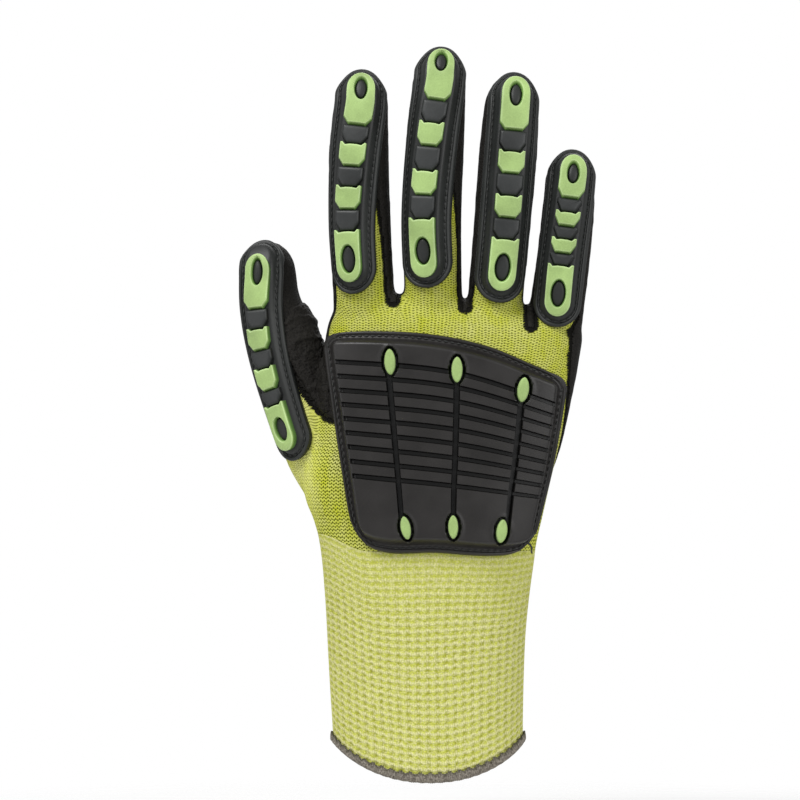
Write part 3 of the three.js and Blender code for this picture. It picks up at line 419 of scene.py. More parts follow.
# where each point lies in the knit: along the courses and up the wales, in millimetres
def knitPlace(points):
    x, y, z = points.T
    left, right, back, palm, power, tilt = handShape(z)
    middle, half = (left + right) / 2, (right - left) / 2
    aside = np.minimum(np.abs(x - middle), half)
    onBack = aside + 0.8 * np.maximum(y - back, 0)
    onPalm = 2 * half - aside + 0.8 * (y - back)
    across, up = np.sign(x - middle) * np.where(y < 0, onBack, onPalm), z.copy()
    knuckles = handShape(np.array([158.0]))
    middleAtKnuckles = float(knuckles[0][0] + knuckles[1][0]) / 2
    nearest, toThumb = np.full(len(points), 1e9), np.full(len(points), 1e9)
    acrossStall, upStall = across.copy(), up.copy()
    for name in fingers:
        rowCount = len(fingers[name]["rows"])
        at = np.linspace(0, rowCount - 1, 80)
        centre, along, acrossAxis, out, w, d, roll = fingerFrame(name, at)
        toCentre = np.linalg.norm(points[:, None, :] - centre[None], axis=2)
        which = toCentre.argmin(1)
        away = points - centre[which]
        a = (away * acrossAxis[which]).sum(1)
        b = (away * out[which]).sum(1)
        angle = np.arctan2(a / w[which], b / d[which])
        radius = (w[which] + d[which]) / 2
        lengths = np.concatenate([[0], np.cumsum(np.linalg.norm(np.diff(centre, axis=0), axis=1))])
        best = toCentre.min(1)
        start = (centre[0, 0] - middleAtKnuckles, centre[0, 2]) if name != "thumb" else knitRows["thumbStart"]
        acrossHere = start[0] + angle * radius
        upHere = start[1] + lengths[which] + (away * along[which]).sum(1)
        if name == "thumb":
            toThumb, acrossThumb, upThumb = best, acrossHere, upHere
        else:
            closer = best < nearest
            nearest = np.where(closer, best, nearest)
            acrossStall, upStall = np.where(closer, acrossHere, acrossStall), np.where(closer, upHere, upStall)
    onStall = smoothStep(*knitRows["stalls"], z)
    across, up = across * (1 - onStall) + acrossStall * onStall, up * (1 - onStall) + upStall * onStall
    onThumb = smoothStep(-5, 5, nearest - toThumb) * smoothStep(*knitRows["thumbAside"], -x)
    onThumb = onThumb * smoothStep(*knitRows["thumbUp"], z)
    across, up = across * (1 - onThumb) + acrossThumb * onThumb, up * (1 - onThumb) + upThumb * onThumb
    over, pulled = knitRows["pulledOver"], knitRows["pulled"]
    above = up - knitRows["pulledAt"]
    longer = above * (1 - pulled) + pulled * over * np.log(np.cosh(np.clip(above / over, -20, 20)))
    narrow = knitRows["narrow"]
    narrower = 1 + narrow - narrow * np.tanh((z - knitRows["narrowAt"]) / knitRows["narrowOver"])
    return across * narrower, longer


print("knitted hand")
bodies = [closedTube(*handTube(0))] + [closedTube(*tubeOf(name, 0)) for name in fingers]
form = makeObject("hand_form", *joined(bodies))
with editing(form.data) as work:
    bmesh.ops.recalc_face_normals(work, faces=work.faces)
fuse = form.modifiers.new("fuse", "REMESH")
fuse.mode = "VOXEL"
fuse.voxel_size = hand["voxel"] / 1000
shellMesh = bpy.data.meshes.new_from_object(form.evaluated_get(bpy.context.evaluated_depsgraph_get()))
bpy.data.objects.remove(form)
with editing(shellMesh) as work:
    for lap in range(hand["smoothing"]):
        bmesh.ops.smooth_vert(work, verts=work.verts, factor=0.5, use_axis_x=True, use_axis_y=True,
                              use_axis_z=True)
    everything = work.verts[:] + work.edges[:] + work.faces[:]
    bmesh.ops.bisect_plane(work, geom=everything, plane_co=(0, 0, hand["cuffTop"] / 1000), plane_no=(0, 0, 1),
                           clear_inner=True)
    bmesh.ops.recalc_face_normals(work, faces=work.faces)
shell = bpy.data.objects.new("hand_shell", shellMesh)
bpy.context.scene.collection.objects.link(shell)
outer, outerNormals = pointsOf(shell), normalsOf(shell)
left, right, back, palm, power, tilt = handShape(outer[:, 2])
aside = np.clip((outer[:, 0] - (left + right) / 2) / ((right - left) / 2), -1, 1)
angle = np.arccos(np.sign(aside) * np.abs(aside) ** (power / 2))
lift = (cuffTopAt(angle) - hand["cuffTop"]) * (1 - smoothStep(hand["cuffTop"], 96, outer[:, 2]))
newLeft, newRight, newBack, newPalm = handShape(outer[:, 2] + lift)[:4]
offMiddle = outer[:, 0] - (left + right) / 2
outer[:, 0] = (newLeft + newRight) / 2 + offMiddle * (newRight - newLeft) / (right - left)
outer[:, 1] *= np.where(outer[:, 1] < 0, newBack / back, newPalm / palm)
outer[:, 2] += lift
outerFaces = [tuple(f.vertices) for f in shell.data.polygons]
if (outerNormals * (outer - outer.mean(0))).sum() < 0:
    outerNormals = -outerNormals
    outerFaces = [f[::-1] for f in outerFaces]
knitTree = BVHTree.FromPolygons((outer / 1000).tolist(), outerFaces)
soak = coatedDepth(outer)
courseAt, waleAt = knitPlace(outer)


# the nearest point of the knit to each point, raised by lift
def onKnit(points, lift):
    found = []
    for p in np.atleast_2d(points):
        place, normal, face, distance = knitTree.find_nearest(Vector(p / 1000))
        found.append(np.array(place) * 1000 + np.array(normal) * lift)
    return np.array(found)


# edges used by one face only, as ordered pairs
def rimEdges(faces):
    seen = {}
    for face in faces:
        for a, b in zip(face, face[1:] + face[:1]):
            seen[(a, b)] = True
    return [(a, b) for a, b in seen if (b, a) not in seen]


# a closed layer between two offsets of the same open surface
def layerBetween(name, low, high, faces):
    count = len(low)
    allFaces = list(faces) + [tuple(i + count for i in face[::-1]) for face in faces]
    allFaces += [(b, a, a + count, b + count) for a, b in rimEdges(faces)]
    return makeObject(name, np.vstack([high, low]), allFaces)


folds = noiseAt(outer * np.array([1, 1, 0.45]), 9) * hand["foldDepth"] * smoothStep(74, 90, outer[:, 2])
knitOut = outer + outerNormals * folds[:, None] * 0.6
knitted = layerBetween("knitted_hand", outer - outerNormals * hand["wall"], knitOut, outerFaces)
for label, values in (("coated", soak), ("courseAt", courseAt), ("waleAt", waleAt)):
    setAttribute(knitted, label, "FLOAT", np.concatenate([values, values]))
bpy.data.objects.remove(shell)


# Dipped coating: a skin over the coated part of the knit, thinning to its edge

print("dipped coating")
coating = {
    # over the knit, at its edge, and how far it soaks in
    "thickness": 0.8, "thinnest": 0.25, "sunk": 0.25,
    # where it begins, and how far in it reaches full thickness
    "edge": 1.1, "taper": 2.6,
    "wrinkle": 0.12, "wrinkleSize": 3.2,
}
full = smoothStep(coating["edge"], coating["edge"] + coating["taper"], soak)
thickness = coating["thinnest"] + (coating["thickness"] - coating["thinnest"]) * full
thickness = thickness + coating["wrinkle"] * noiseAt(outer, coating["wrinkleSize"], 7) * smoothStep(2, 6, soak)
faces, used = keptFaces(outerFaces, soak > coating["edge"])
base, normals = outer[used], outerNormals[used]
low, high = base - normals * coating["sunk"], base + normals * thickness[used][:, None]
dipped = layerBetween("dipped_coating", low, high, faces)


# Patch over the thumb crotch: one more coarse layer with ridges in arcs

print("crotch patch")
patch = {
    "outline": [(-51.6, 146), (-52, 155), (-50, 159.8), (-46, 161.6), (-43, 159.5), (-41, 154), (-39, 148),
                (-37.6, 143), (-35.8, 136), (-34.8, 128), (-34.6, 122.5), (-37, 121.6), (-40.5, 125),
                (-44, 130), (-48, 137), (-50.3, 141)],
    "thickness": 0.85, "crumple": 0.5, "crumpleSize": 2.6, "ridge": 0.5,
    # arcs as centre x, z, radius, start and end angle in degrees
    "ridges": [(-46.5, 149.5, 6.6, 35, 150), (-43, 138, 10.5, 20, 125), (-40, 118, 13, 20, 100),
               (-45, 146, 3.4, 60, 200)],
}
patchDepth = depthInside(outer[:, 0], outer[:, 2], patch["outline"])
patchDepth = np.where(outer[:, 1] < 14, patchDepth, -9)


def ridgeHeight(points):
    total = np.zeros(len(points))
    for cx, cz, radius, start, end in patch["ridges"]:
        dx, dz = points[:, 0] - cx, points[:, 2] - cz
        angle = np.degrees(np.arctan2(dz, dx)) % 360
        off = np.abs(np.hypot(dx, dz) - radius)
        along = smoothStep(start - 12, start + 8, angle) * (1 - smoothStep(end - 8, end + 12, angle))
        total += np.exp(-(off / 0.75) ** 2) * along
    return total


faces, used = keptFaces(outerFaces, patchDepth > -1.2)
fine = makeObject("patch_fine", outer[used], faces)
with editing(fine.data) as work:
    bmesh.ops.subdivide_edges(work, edges=work.edges, cuts=2, use_grid_fill=True)
base, normals = pointsOf(fine), normalsOf(fine)
fineFaces = [tuple(f.vertices) for f in fine.data.polygons]
bpy.data.objects.remove(fine)
deep = depthInside(base[:, 0], base[:, 2], patch["outline"]) + 0.5 * noiseAt(base, 1.6, 3)
fineFaces, used = keptFaces(fineFaces, deep > 0)
base, normals, deep = base[used], normals[used], deep[used]
swell = coating["thickness"] + patch["thickness"] * smoothStep(0, 1.0, deep) + 0.1
swell += patch["ridge"] * ridgeHeight(base)
rough = np.abs(noiseAt(base, patch["crumpleSize"], 11)) + 0.5 * noiseAt(base, 1.1, 5)
swell += patch["crumple"] * rough * smoothStep(0, 2, deep)
crotchPatch = layerBetween("crotch_patch", base + normals * 0.35, base + normals * swell[:, None], fineFaces)


# Finger guards: moulded strips swept along a path on each finger's back, with s along and w across

guardSizes = {
    "spine": 2.8,           # height of the middle over the knit
    "lip": 2.35,            # outer lip
    "channel": 1.65,        # sunk line that the stitches run in
    # heights of the green inserts and of the black blocks between them
    "insertBottom": 2.9, "insertTop": 5.4, "block": 4.95,
    "insertHalf": {"base": 5.05, "lower": 4.8, "upper": 4.75, "tip": 5.1}, "blockHalf": 4.8,
    # the cut corners towards the wrist, the dark facet along them, and the ears of the middle inserts
    "chamferLength": {"thumb": 2.7, "index": 2.7, "middle": 2.8, "ring": 2.7, "little": 3.3},
    "chamferHalf": 2.9, "facet": 1.15, "ears": 0.95,
    # how much narrower a guard is at its wrist end, and how wide its inserts are
    "narrow": {"thumb": 0.03, "index": 0.115, "middle": 0.03, "ring": 0.02, "little": 0.02},
    "insertScale": {"thumb": 0.87, "index": 1, "middle": 0.95, "ring": 1, "little": 0.94},
    # the bend's radius at the fingertip and how far it reaches, and how far in from the edge the stitches run
    "tipBend": 9, "tipLength": 12, "stitchInset": 1.9,
}
# place along the insert, half-width, half-length
baseHoles = {"thumb": (0.45, 2.4, 4.1), "index": (0.44, 2.7, 4.75), "middle": (0.44, 2.6, 4.6),
             "ring": (0.44, 2.7, 4.75), "little": (0.44, 2.5, 4.6)}
tipHoles = {"thumb": (0.7, 1.8, 4.1), "index": (0.725, 2.1, 3.25), "middle": (0.765, 2.05, 2.9),
            "ring": (0.69, 2.1, 3.6), "little": (0.61, 1.95, 3.2)}


def guardPath(name):
    rows = np.array(fingers[name]["rows"], float)
    centre, along, across, out, w, d, roll = fingerFrame(name, np.arange(len(rows)))
    points, normals = [], []

    def add(i, at, scale, lean):
        si, co = math.sin(roll[i]), math.cos(roll[i])
        points.append(at + (across[i] * w[i] * si + out[i] * d[i] * co) * scale)
        normal = (across[i] * si / w[i] + out[i] * co / d[i]) * scale + along[i] * lean
        normals.append(unit(normal))

    for i in range(len(rows)):
        add(i, centre[i], 1, 0)
    rise = np.array(fingers[name]["tip"], float) - centre[-1]
    height = np.linalg.norm(rise)
    for share in (0.2, 0.4, 0.6, 0.76, 0.88, 0.96):
        add(len(rows) - 1, centre[-1] + rise * share, math.sqrt(1 - share**2), share / height)
    line, turns = throughSpace(points, 400), unit(throughSpace(normals, 400))
    first = int(np.argmax(line[:, 2] >= fingers[name]["guard"][0]))
    line, turns = line[first:], turns[first:]
    s = np.concatenate([[0], np.cumsum(np.linalg.norm(np.diff(line, axis=0), axis=1))])
    return {"s": s, "line": line, "normal": turns, "length": s[-1], "bend": (w[2] + 1) ** 2 / (d[2] + 1),
            "narrow": guardSizes["narrow"][name]}


# the point at s along a guard, w across it and h above the knit; follow says how closely it bends round
def guardPlace(path, s, w, h, follow):
    s, w, h, follow = np.broadcast_arrays(*[np.asarray(v, float) for v in (s, w, h, follow)])
    within = np.clip(s, 0, path["length"])
    point = np.stack([np.interp(within, path["s"], path["line"][:, k]) for k in range(3)], -1)
    ahead = np.clip(within + 0.4, 0, path["length"])
    behind = np.clip(within - 0.4, 0, path["length"])
    along = unit(np.stack([np.interp(ahead, path["s"], path["line"][:, k])
                           - np.interp(behind, path["s"], path["line"][:, k])
                           for k in range(3)], -1))
    normal = unit(np.stack([np.interp(within, path["s"], path["normal"][:, k]) for k in range(3)], -1))
    normal = unit(normal - along * (normal * along).sum(-1, keepdims=True))
    across = np.cross(along, normal)
    near = smoothStep(path["length"] - guardSizes["tipLength"], path["length"], s)
    w = w * (1 - path["narrow"] * (1 - smoothStep(0, path["length"] * 0.8, s)))
    bend = path["bend"] * (1 - near) + guardSizes["tipBend"] * near
    drop = bend - np.sqrt(np.maximum(bend**2 - w**2, 0))
    lifted = normal * (h - drop * follow)[..., None]
    return point + along * (s - within)[..., None] + across * w[..., None] + lifted


# where along a guard a height in the photo falls, measured at the inserts' tops
def alongAt(path, z):
    s = np.linspace(0, path["length"], 1200)
    heights = guardPlace(path, s, 0, guardSizes["insertTop"], 0.2)[:, 2]
    return float(s[min(int(np.argmax(heights >= z)) if heights.max() >= z else 1199, 1199)])


# the guard's outline as a closed ring set in by a distance: it starts at the wrist end and runs up the +w side
def stadium(length, half, inset):
    turn = np.linspace(0, np.pi / 2, 14)
    straight = np.linspace(half, length - half, max(int((length - 2 * half) / 1.0), 4))[1:-1]
    s = np.concatenate([half - (half - inset) * np.cos(turn), straight,
                        length - half + (half - inset) * np.sin(turn)])
    w = np.concatenate([(half - inset) * np.sin(turn), np.full(len(straight), half - inset),
                        (half - inset) * np.cos(turn)])
    w[0], w[-1] = 0, 0
    return np.concatenate([s, s[-2:0:-1]]), np.concatenate([w, -w[-2:0:-1]])


# fills a ring that is the same on both sides of w = 0 with rows across it
def fillAcross(points, faces, ringStart, ringCount, s, w, placeAt, columns=10):
    half = ringCount // 2
    rows = []
    for i in range(1, half):
        inner = []
        for c in np.linspace(1, -1, columns + 1)[1:-1]:
            inner.append(len(points))
            points.append(placeAt(s[i], w[i] * c))
        rows.append([ringStart + i] + inner + [ringStart + ringCount - i])
    for a, b in zip(rows, rows[1:]):
        for k in range(columns):
            faces.append((a[k], a[k + 1], b[k + 1], b[k]))
    for k in range(columns):
        faces.append((ringStart, rows[0][k], rows[0][k + 1]))
        faces.append((ringStart + half, rows[-1][k], rows[-1][k + 1]))


def guardStrip(name, path):
    length, half = path["length"], fingers[name]["guard"][1]
    g = guardSizes
    profile = [(0, 0.9, 1), (0, g["lip"] - 0.55, 1), (0.14, g["lip"] - 0.22, 1), (0.42, g["lip"], 1),
               (1.0, g["lip"] + 0.02, 1), (1.3, g["lip"] - 0.2, 1), (1.55, g["channel"] + 0.08, 1),
               (1.85, g["channel"], 1), (2.25, g["channel"] + 0.05, 1), (2.6, g["channel"] + 0.45, 0.92),
               (3.1, g["channel"] + 0.8, 0.66), (3.7, g["spine"] - 0.12, 0.36), (4.2, g["spine"], 0.2)]
    points, faces, starts, heights = [], [], [], []
    s, w = stadium(length, half, 0.1)
    under = onKnit(guardPlace(path, s, w, 0.4, 1), 0.1)
    starts.append(0)
    points += list(under)
    heights += [0] * len(under)
    for inset, height, follow in profile:
        s, w = stadium(length, half, inset)
        starts.append(len(points))
        points += list(guardPlace(path, s, w, height, follow))
        heights += [height] * len(s)
    count = len(s)
    faces += ringFaces(starts, count)
    fillAcross(points, faces, starts[-1], count, s, w,
               lambda a, b: guardPlace(path, a, b, g["spine"] + 0.05, 0.2))
    s, w = stadium(length, half, 0.1)
    fillAcross(points, faces, 0, count, s, w, lambda a, b: onKnit(guardPlace(path, a, b, 0.3, 0.7), 0.1)[0], 8)
    heights += [g["spine"]] * (len(points) - len(heights))
    return np.array(points), faces, np.array(heights, float)


# corners moved inwards by a distance for each edge
def insetPolygon(corners, distances):
    count = len(corners)
    area = sum(corners[i][0] * corners[(i + 1) % count][1] - corners[(i + 1) % count][0] * corners[i][1]
               for i in range(count))
    edges = unit(np.roll(corners, -1, 0) - corners)
    inward = np.stack([-edges[:, 1], edges[:, 0]], -1) * np.sign(area)
    moved = []
    for i in range(count):
        a, b = inward[i - 1], inward[i]
        if abs(a[0] * b[1] - a[1] * b[0]) < 0.05:
            moved.append(corners[i] + unit(a + b) * (distances[i - 1] + distances[i]) / 2)
        else:
            right = np.array([a @ corners[i] + distances[i - 1], b @ corners[i] + distances[i]])
            moved.append(np.linalg.solve(np.array([a, b]), right))
    return np.array(moved)


# A moulded piece from rings of one outline. Each ring has an inset and a height, one value or one for each
# edge. It closes at its middle, or round an oval hole whose own rings have a growth and a height. Besides the
# points and faces it gives each point's height over the knit.
def ringSolid(place, corners, rings, middle, hole=None, step=0.7):
    corners = np.array(corners, float)
    count = len(corners)
    lengths = np.linalg.norm(np.roll(corners, -1, 0) - corners, axis=1)
    cuts = np.maximum((lengths / step).astype(int), 1)
    edge = np.repeat(np.arange(count), cuts)
    share = np.concatenate([np.arange(c) / c for c in cuts])

    def spread(values):
        values = np.broadcast_to(np.asarray(values, float), (count,))
        onEdge = values[edge]
        return np.where(share == 0, (values[edge] + values[edge - 1]) / 2, onEdge)

    def outlineOf(inset):
        moved = insetPolygon(corners, np.broadcast_to(np.asarray(inset, float), (count,)))
        return moved[edge] * (1 - share)[:, None] + moved[(edge + 1) % count] * share[:, None]

    layers = [(outlineOf(inset), spread(height)) for inset, height in rings]
    last, lastHeight = layers[-1]
    middle = np.array(middle, float)
    if hole:
        angle = np.arctan2((last[:, 1] - middle[1]) / hole["half"], (last[:, 0] - middle[0]) / hole["length"])
        ovals = [(middle + np.stack([(hole["length"] + grow) * np.cos(angle),
                                     (hole["half"] + grow) * np.sin(angle)], -1),
                  np.full(len(last), height)) for grow, height in hole["rings"]]
        for t in (0.3, 0.6, 0.85):
            layers.append((last * (1 - t) + ovals[0][0] * t, lastHeight * (1 - t) + ovals[0][1] * t + 0.03))
        layers += ovals
    else:
        for t in (0.25, 0.5, 0.75):
            layers.append((last * (1 - t) + middle * t, lastHeight + 0.06 * t))
    points = np.vstack([place(outline[:, 0], outline[:, 1], height) for outline, height in layers])
    heights = np.concatenate([height for outline, height in layers])
    sides = len(last)
    starts = [i * sides for i in range(len(layers))]
    faces = ringFaces(starts, sides, closedLoop=bool(hole))
    if not hole:
        low, high = layers[0][1].mean(), lastHeight.mean() + 0.07
        ends = np.vstack([place(middle[:1], middle[1:], np.array([h])) for h in (low, high)])
        bottom, top = len(points), len(points) + 1
        points, heights = np.vstack([points, ends]), np.append(heights, [low, high])
        for k in range(sides):
            n = (k + 1) % sides
            faces.append((bottom, n, k))
            faces.append((top, starts[-1] + k, starts[-1] + n))
    return points, faces, heights


# one object of several parts, which keeps each point's height over the knit for its material's painted shade
# and highlights
def gathered(name, parts):
    made = makeObject(name, *joined([(points, faces) for points, faces, heights in parts]))
    setAttribute(made, "height", "FLOAT", np.concatenate([heights for points, faces, heights in parts]))
    return facesOutward(made)


# an insert's or block's corners, from the wrist edge up the +w side, with the kind of edge after each corner
def insertOutline(kind, start, end, half, chamfer):
    g = guardSizes
    corners, kinds = [], []

    def corner(s, w, edge):
        corners.append((s, w))
        kinds.append(edge)

    arc = np.radians([0, 15, 30, 45, 60, 75, 90])
    if kind == "base":
        radius = half * 1.12
        right = [(start + radius * (1 - math.cos(a)), half * math.sin(a), "round") for a in arc[1:]]
        left = [(s, -w, "round") for s, w, _ in right[::-1]]
        right[-1] = (right[-1][0], right[-1][1], "side")
        bottom = [(start, 0, "round")]
    else:
        half0 = g["chamferHalf"] * half / 4.9
        bottom = [(start, -half0, "facet"), (start, half0, "corner")]
        right = [(start + chamfer, half, "side")]
        left = [(start + chamfer, -half, "corner")]
    if kind == "tip":
        radius = half * 1.02
        top = [(end - radius * (1 - math.sin(a)), half * math.cos(a), "round") for a in arc[:-1]]
        top += [(end, 0, "round")]
        top += [(s, -w, "round") for s, w, _ in top[-2::-1]]
        top[-1] = (top[-1][0], top[-1][1], "side")
    elif kind == "block":
        top = [(end, half, "top"), (end, -half, "side")]
    else:
        e = g["ears"]
        top = [(end - 0.1, half, "ear"), (end, half - 0.75, "ear"), (end - e, half - 1.75, "top"),
               (end - e + 0.28, 1.2, "top"), (end - e + 0.28, -1.2, "top"), (end - e, -half + 1.75, "ear"),
               (end, -half + 0.75, "ear"), (end - 0.1, -half, "side")]
    for s, w, edge in bottom + right + top + left:
        corner(s, w, edge)
    return corners, kinds


print("finger guards and inserts")
guardObjects, insertObjects, stitchLines = {}, {}, []
for name in fingers:
    path = guardPath(name)
    g = guardSizes
    place = lambda s, w, h, path=path: guardPlace(path, s, w, h, 0.2)
    spans = {key: (alongAt(path, low), alongAt(path, high))
             for key, (low, high) in fingers[name]["inserts"].items()}
    black, green = [guardStrip(name, path)], []
    order = ["base", "lower", "upper", "tip"]
    for a, b in zip(order, order[1:]):
        start, end = spans[a][1] - 0.55, spans[b][0] - 0.15
        corners, kinds = insertOutline("block", start, end, g["blockHalf"] * g["insertScale"][name],
                                       g["chamferLength"][name])
        black.append(ringSolid(place, corners, [
            (0, g["spine"] - 0.6),
            (0, [g["spine"] + 0.7 if k in ("facet", "corner") else g["block"] - 0.75 for k in kinds]),
            ([0.5 if k in ("facet", "corner") else 0.22 for k in kinds], g["block"] - 0.35),
            ([1.0 if k in ("facet", "corner") else 0.6 for k in kinds], g["block"] - 0.08),
            ([1.5 if k in ("facet", "corner") else 1.1 for k in kinds], g["block"]),
        ], ((start + end) / 2 + 0.3, 0)))
    for key in order:
        start, end = spans[key]
        half = g["insertHalf"][key] * g["insertScale"][name]
        corners, kinds = insertOutline("mid" if key in ("lower", "upper") else key, start, end, half,
                                       g["chamferLength"][name])
        low = [g["insertTop"] - (1.75 if k == "facet" else 0.95 if k == "corner" else 0.42) for k in kinds]
        wide = np.array([g["facet"] if k == "facet" else 0.55 if k == "corner" else 0.34 for k in kinds])
        hole, middle = None, ((start + end) / 2 + 0.4, 0)
        if key in ("base", "tip"):
            share, half, length = (baseHoles if key == "base" else tipHoles)[name]
            middle = (start + (end - start) * share, 0)
            hole = {"half": half, "length": length, "rings": [
                (0.72, g["insertTop"] - 0.02), (0.58, g["insertTop"] - 0.16), (0.12, g["insertTop"] - 1.4),
                (0, g["insertBottom"] - 0.4)]}
            angle = np.linspace(0, 2 * np.pi, 28, endpoint=False)
            boss = np.stack([middle[0] + (length - 0.15) * np.cos(angle), (half - 0.15) * np.sin(angle)], -1)
            top = g["insertTop"] - 1.15
            black.append(ringSolid(place, boss, [
                (0, g["spine"] - 0.6), (0, top - 0.5), (0.18, top - 0.18), (0.5, top), (1.1, top + 0.1)],
                middle))
        green.append(ringSolid(place, corners, [
            (0, g["insertBottom"] - 0.4), (0, low), (wide * 0.8, g["insertTop"] - 0.1),
            (wide + 0.12, g["insertTop"]), (wide + 0.5, g["insertTop"] + 0.02)], middle, hole))
    guardObjects[name] = keepCreases(gathered(name + "_guard_moulded", black), 42)
    insertObjects[name] = keepCreases(gathered(name + "_inserts", green), 34)
    s, w = stadium(path["length"], fingers[name]["guard"][1], guardSizes["stitchInset"])
    stitchLines.append(guardPlace(path, s, w, g["channel"] + 0.18, 1))


# Back pad: a grid over the hand's back, with grooves, channels, pockets and a sewn flange cut into its height

print("back pad")
padTop = [(-35.6, 149), (-33.4, 150.1), (-29, 150.8), (-20, 151.1), (-5, 150.6), (9, 148.8), (23, 145.3),
          (36, 139.9), (44, 136.4), (47.4, 134.6), (48.6, 133)]
padBottom = [(-24.3, 77.6), (-21.7, 74.9), (-18, 73), (-11.6, 71.9), (2.1, 72.2), (16, 71.2), (26, 71.2),
             (31.6, 72.6), (35.6, 75.8)]
padLeft = [(77.6, -24.3), (80.6, -26.2), (85, -27.9), (97, -30.1), (111, -32.2), (128, -34.4), (142, -36.2),
           (147, -36.5), (149, -35.6)]
padRight = [(75.8, 35.6), (79, 37.6), (83.5, 39), (90.4, 40.8), (100.7, 43.4), (114.5, 46.2), (128, 48.6),
            (131, 49.1), (133, 48.6)]
firstGroove = [(-36, 140.3), (9.9, 135.9), (50, 123)]
lastGroove = [(-31, 99.9), (8, 96), (44, 91.6)]
pad = {
    # heights over the knit
    "bottom": 0.35, "lip": 2.25, "stitchLine": 1.75, "body": 5.6, "groove": 3.9, "channel": 3.3, "stud": 6.15,
    # its rough size, and how much wider than the hand it is bent
    "across": 84, "down": 76, "widen": 2.5,
    # grooves: where the first and the last lie down the pad, their half-width, and where they end across it
    "grooveCount": 9, "grooveFrom": 0.16, "grooveTo": 0.68, "grooveHalf": 0.72, "grooveEnds": (0.066, 0.948),
    # channels: where they lie across the pad, their half-width, the lean of the first, and where they end
    "channels": (0.276, 0.551, 0.82), "channelHalf": 0.98, "channelLean": 0.034, "channelEnds": (0.13, 0.9),
    "leanReach": 0.27, "leanFrom": 0.62,
    # how far round a stud its pocket reaches, and how far in from the edge the stitches run
    "pocket": 0.85, "stitchInset": 1.85,
}
# x, z, half-length, half-width, lean
studRows = [(-13.3, 139.8, 4.5, 1.9, -2), (10.2, 137.1, 4.5, 1.95, 1), (33.1, 130.2, 4.4, 1.9, 8),
            (-7.9, 81, 4.15, 1.7, -11), (8.6, 81.3, 4.15, 1.7, 0), (24.9, 80.1, 4.15, 1.7, 9)]


def padLine(x, v):
    top, bottom = throughTable(x, *zip(*padTop)), throughTable(x, *zip(*padBottom))
    first, last = throughTable(x, *zip(*firstGroove)), throughTable(x, *zip(*lastGroove))
    a, b = pad["grooveFrom"], pad["grooveTo"]
    return np.where(v < a, top + (first - top) * v / a,
                    np.where(v < b, first + (last - first) * (v - a) / (b - a),
                             last + (bottom - last) * (v - b) / (1 - b)))


def padPlace(u, v):
    left, right = np.full(np.shape(v), -32.0), np.full(np.shape(v), 45.0)
    for lap in range(6):
        left = throughTable(padLine(left, v), *zip(*padLeft))
        right = throughTable(padLine(right, v), *zip(*padRight))
    # the channel on the thumb's side leans more than the pad's edge does
    near = np.maximum(1 - np.abs(u - pad["channels"][0]) / pad["leanReach"], 0)
    leaning = near * pad["channelLean"] * (v - pad["leanFrom"])
    x = left + (right - left) * (u + leaning)
    return x, padLine(x, v)


def padSurface(x, z):
    left, right, back, palm, power, tilt = handShape(z)
    share = np.minimum(np.abs((x - (left + right) / 2) / ((right - left) / 2 + pad["widen"])), 0.999)
    return np.stack([x, back * (1 - share**power) ** (1 / power), z], -1)


def padPoint(x, z, h):
    x, z = np.asarray(x, float), np.asarray(z, float)
    step = 0.8
    acrossPad = padSurface(x + step, z) - padSurface(x - step, z)
    upPad = padSurface(x, z + 6 * step) - padSurface(x, z - 6 * step)
    return padSurface(x, z) + unit(np.cross(acrossPad, upPad)) * np.asarray(h, float)[..., None]


# about how far outside a stud-shaped outline a place lies, negative inside
def studDistance(x, z, stud, grow):
    cx, cz, length, width, lean = stud
    co, si = math.cos(math.radians(lean)), math.sin(math.radians(lean))
    along, across = (x - cx) * si + (z - cz) * co, (x - cx) * co - (z - cz) * si
    size = (along / (length + grow)) ** 2 + (np.abs(across) / (width + grow)) ** 1.75
    return (np.hypot(along, across) + 0.001) * (1 - 1 / np.sqrt(np.maximum(size, 1e-6)))


def linesWith(marks, longest):
    marks = sorted(set(round(float(m), 6) for m in marks))
    lines = []
    for a, b in zip(marks, marks[1:]):
        lines += list(np.linspace(a, b, max(int(math.ceil((b - a) / longest)), 1), endpoint=False))
    return np.array(lines + [marks[-1]])


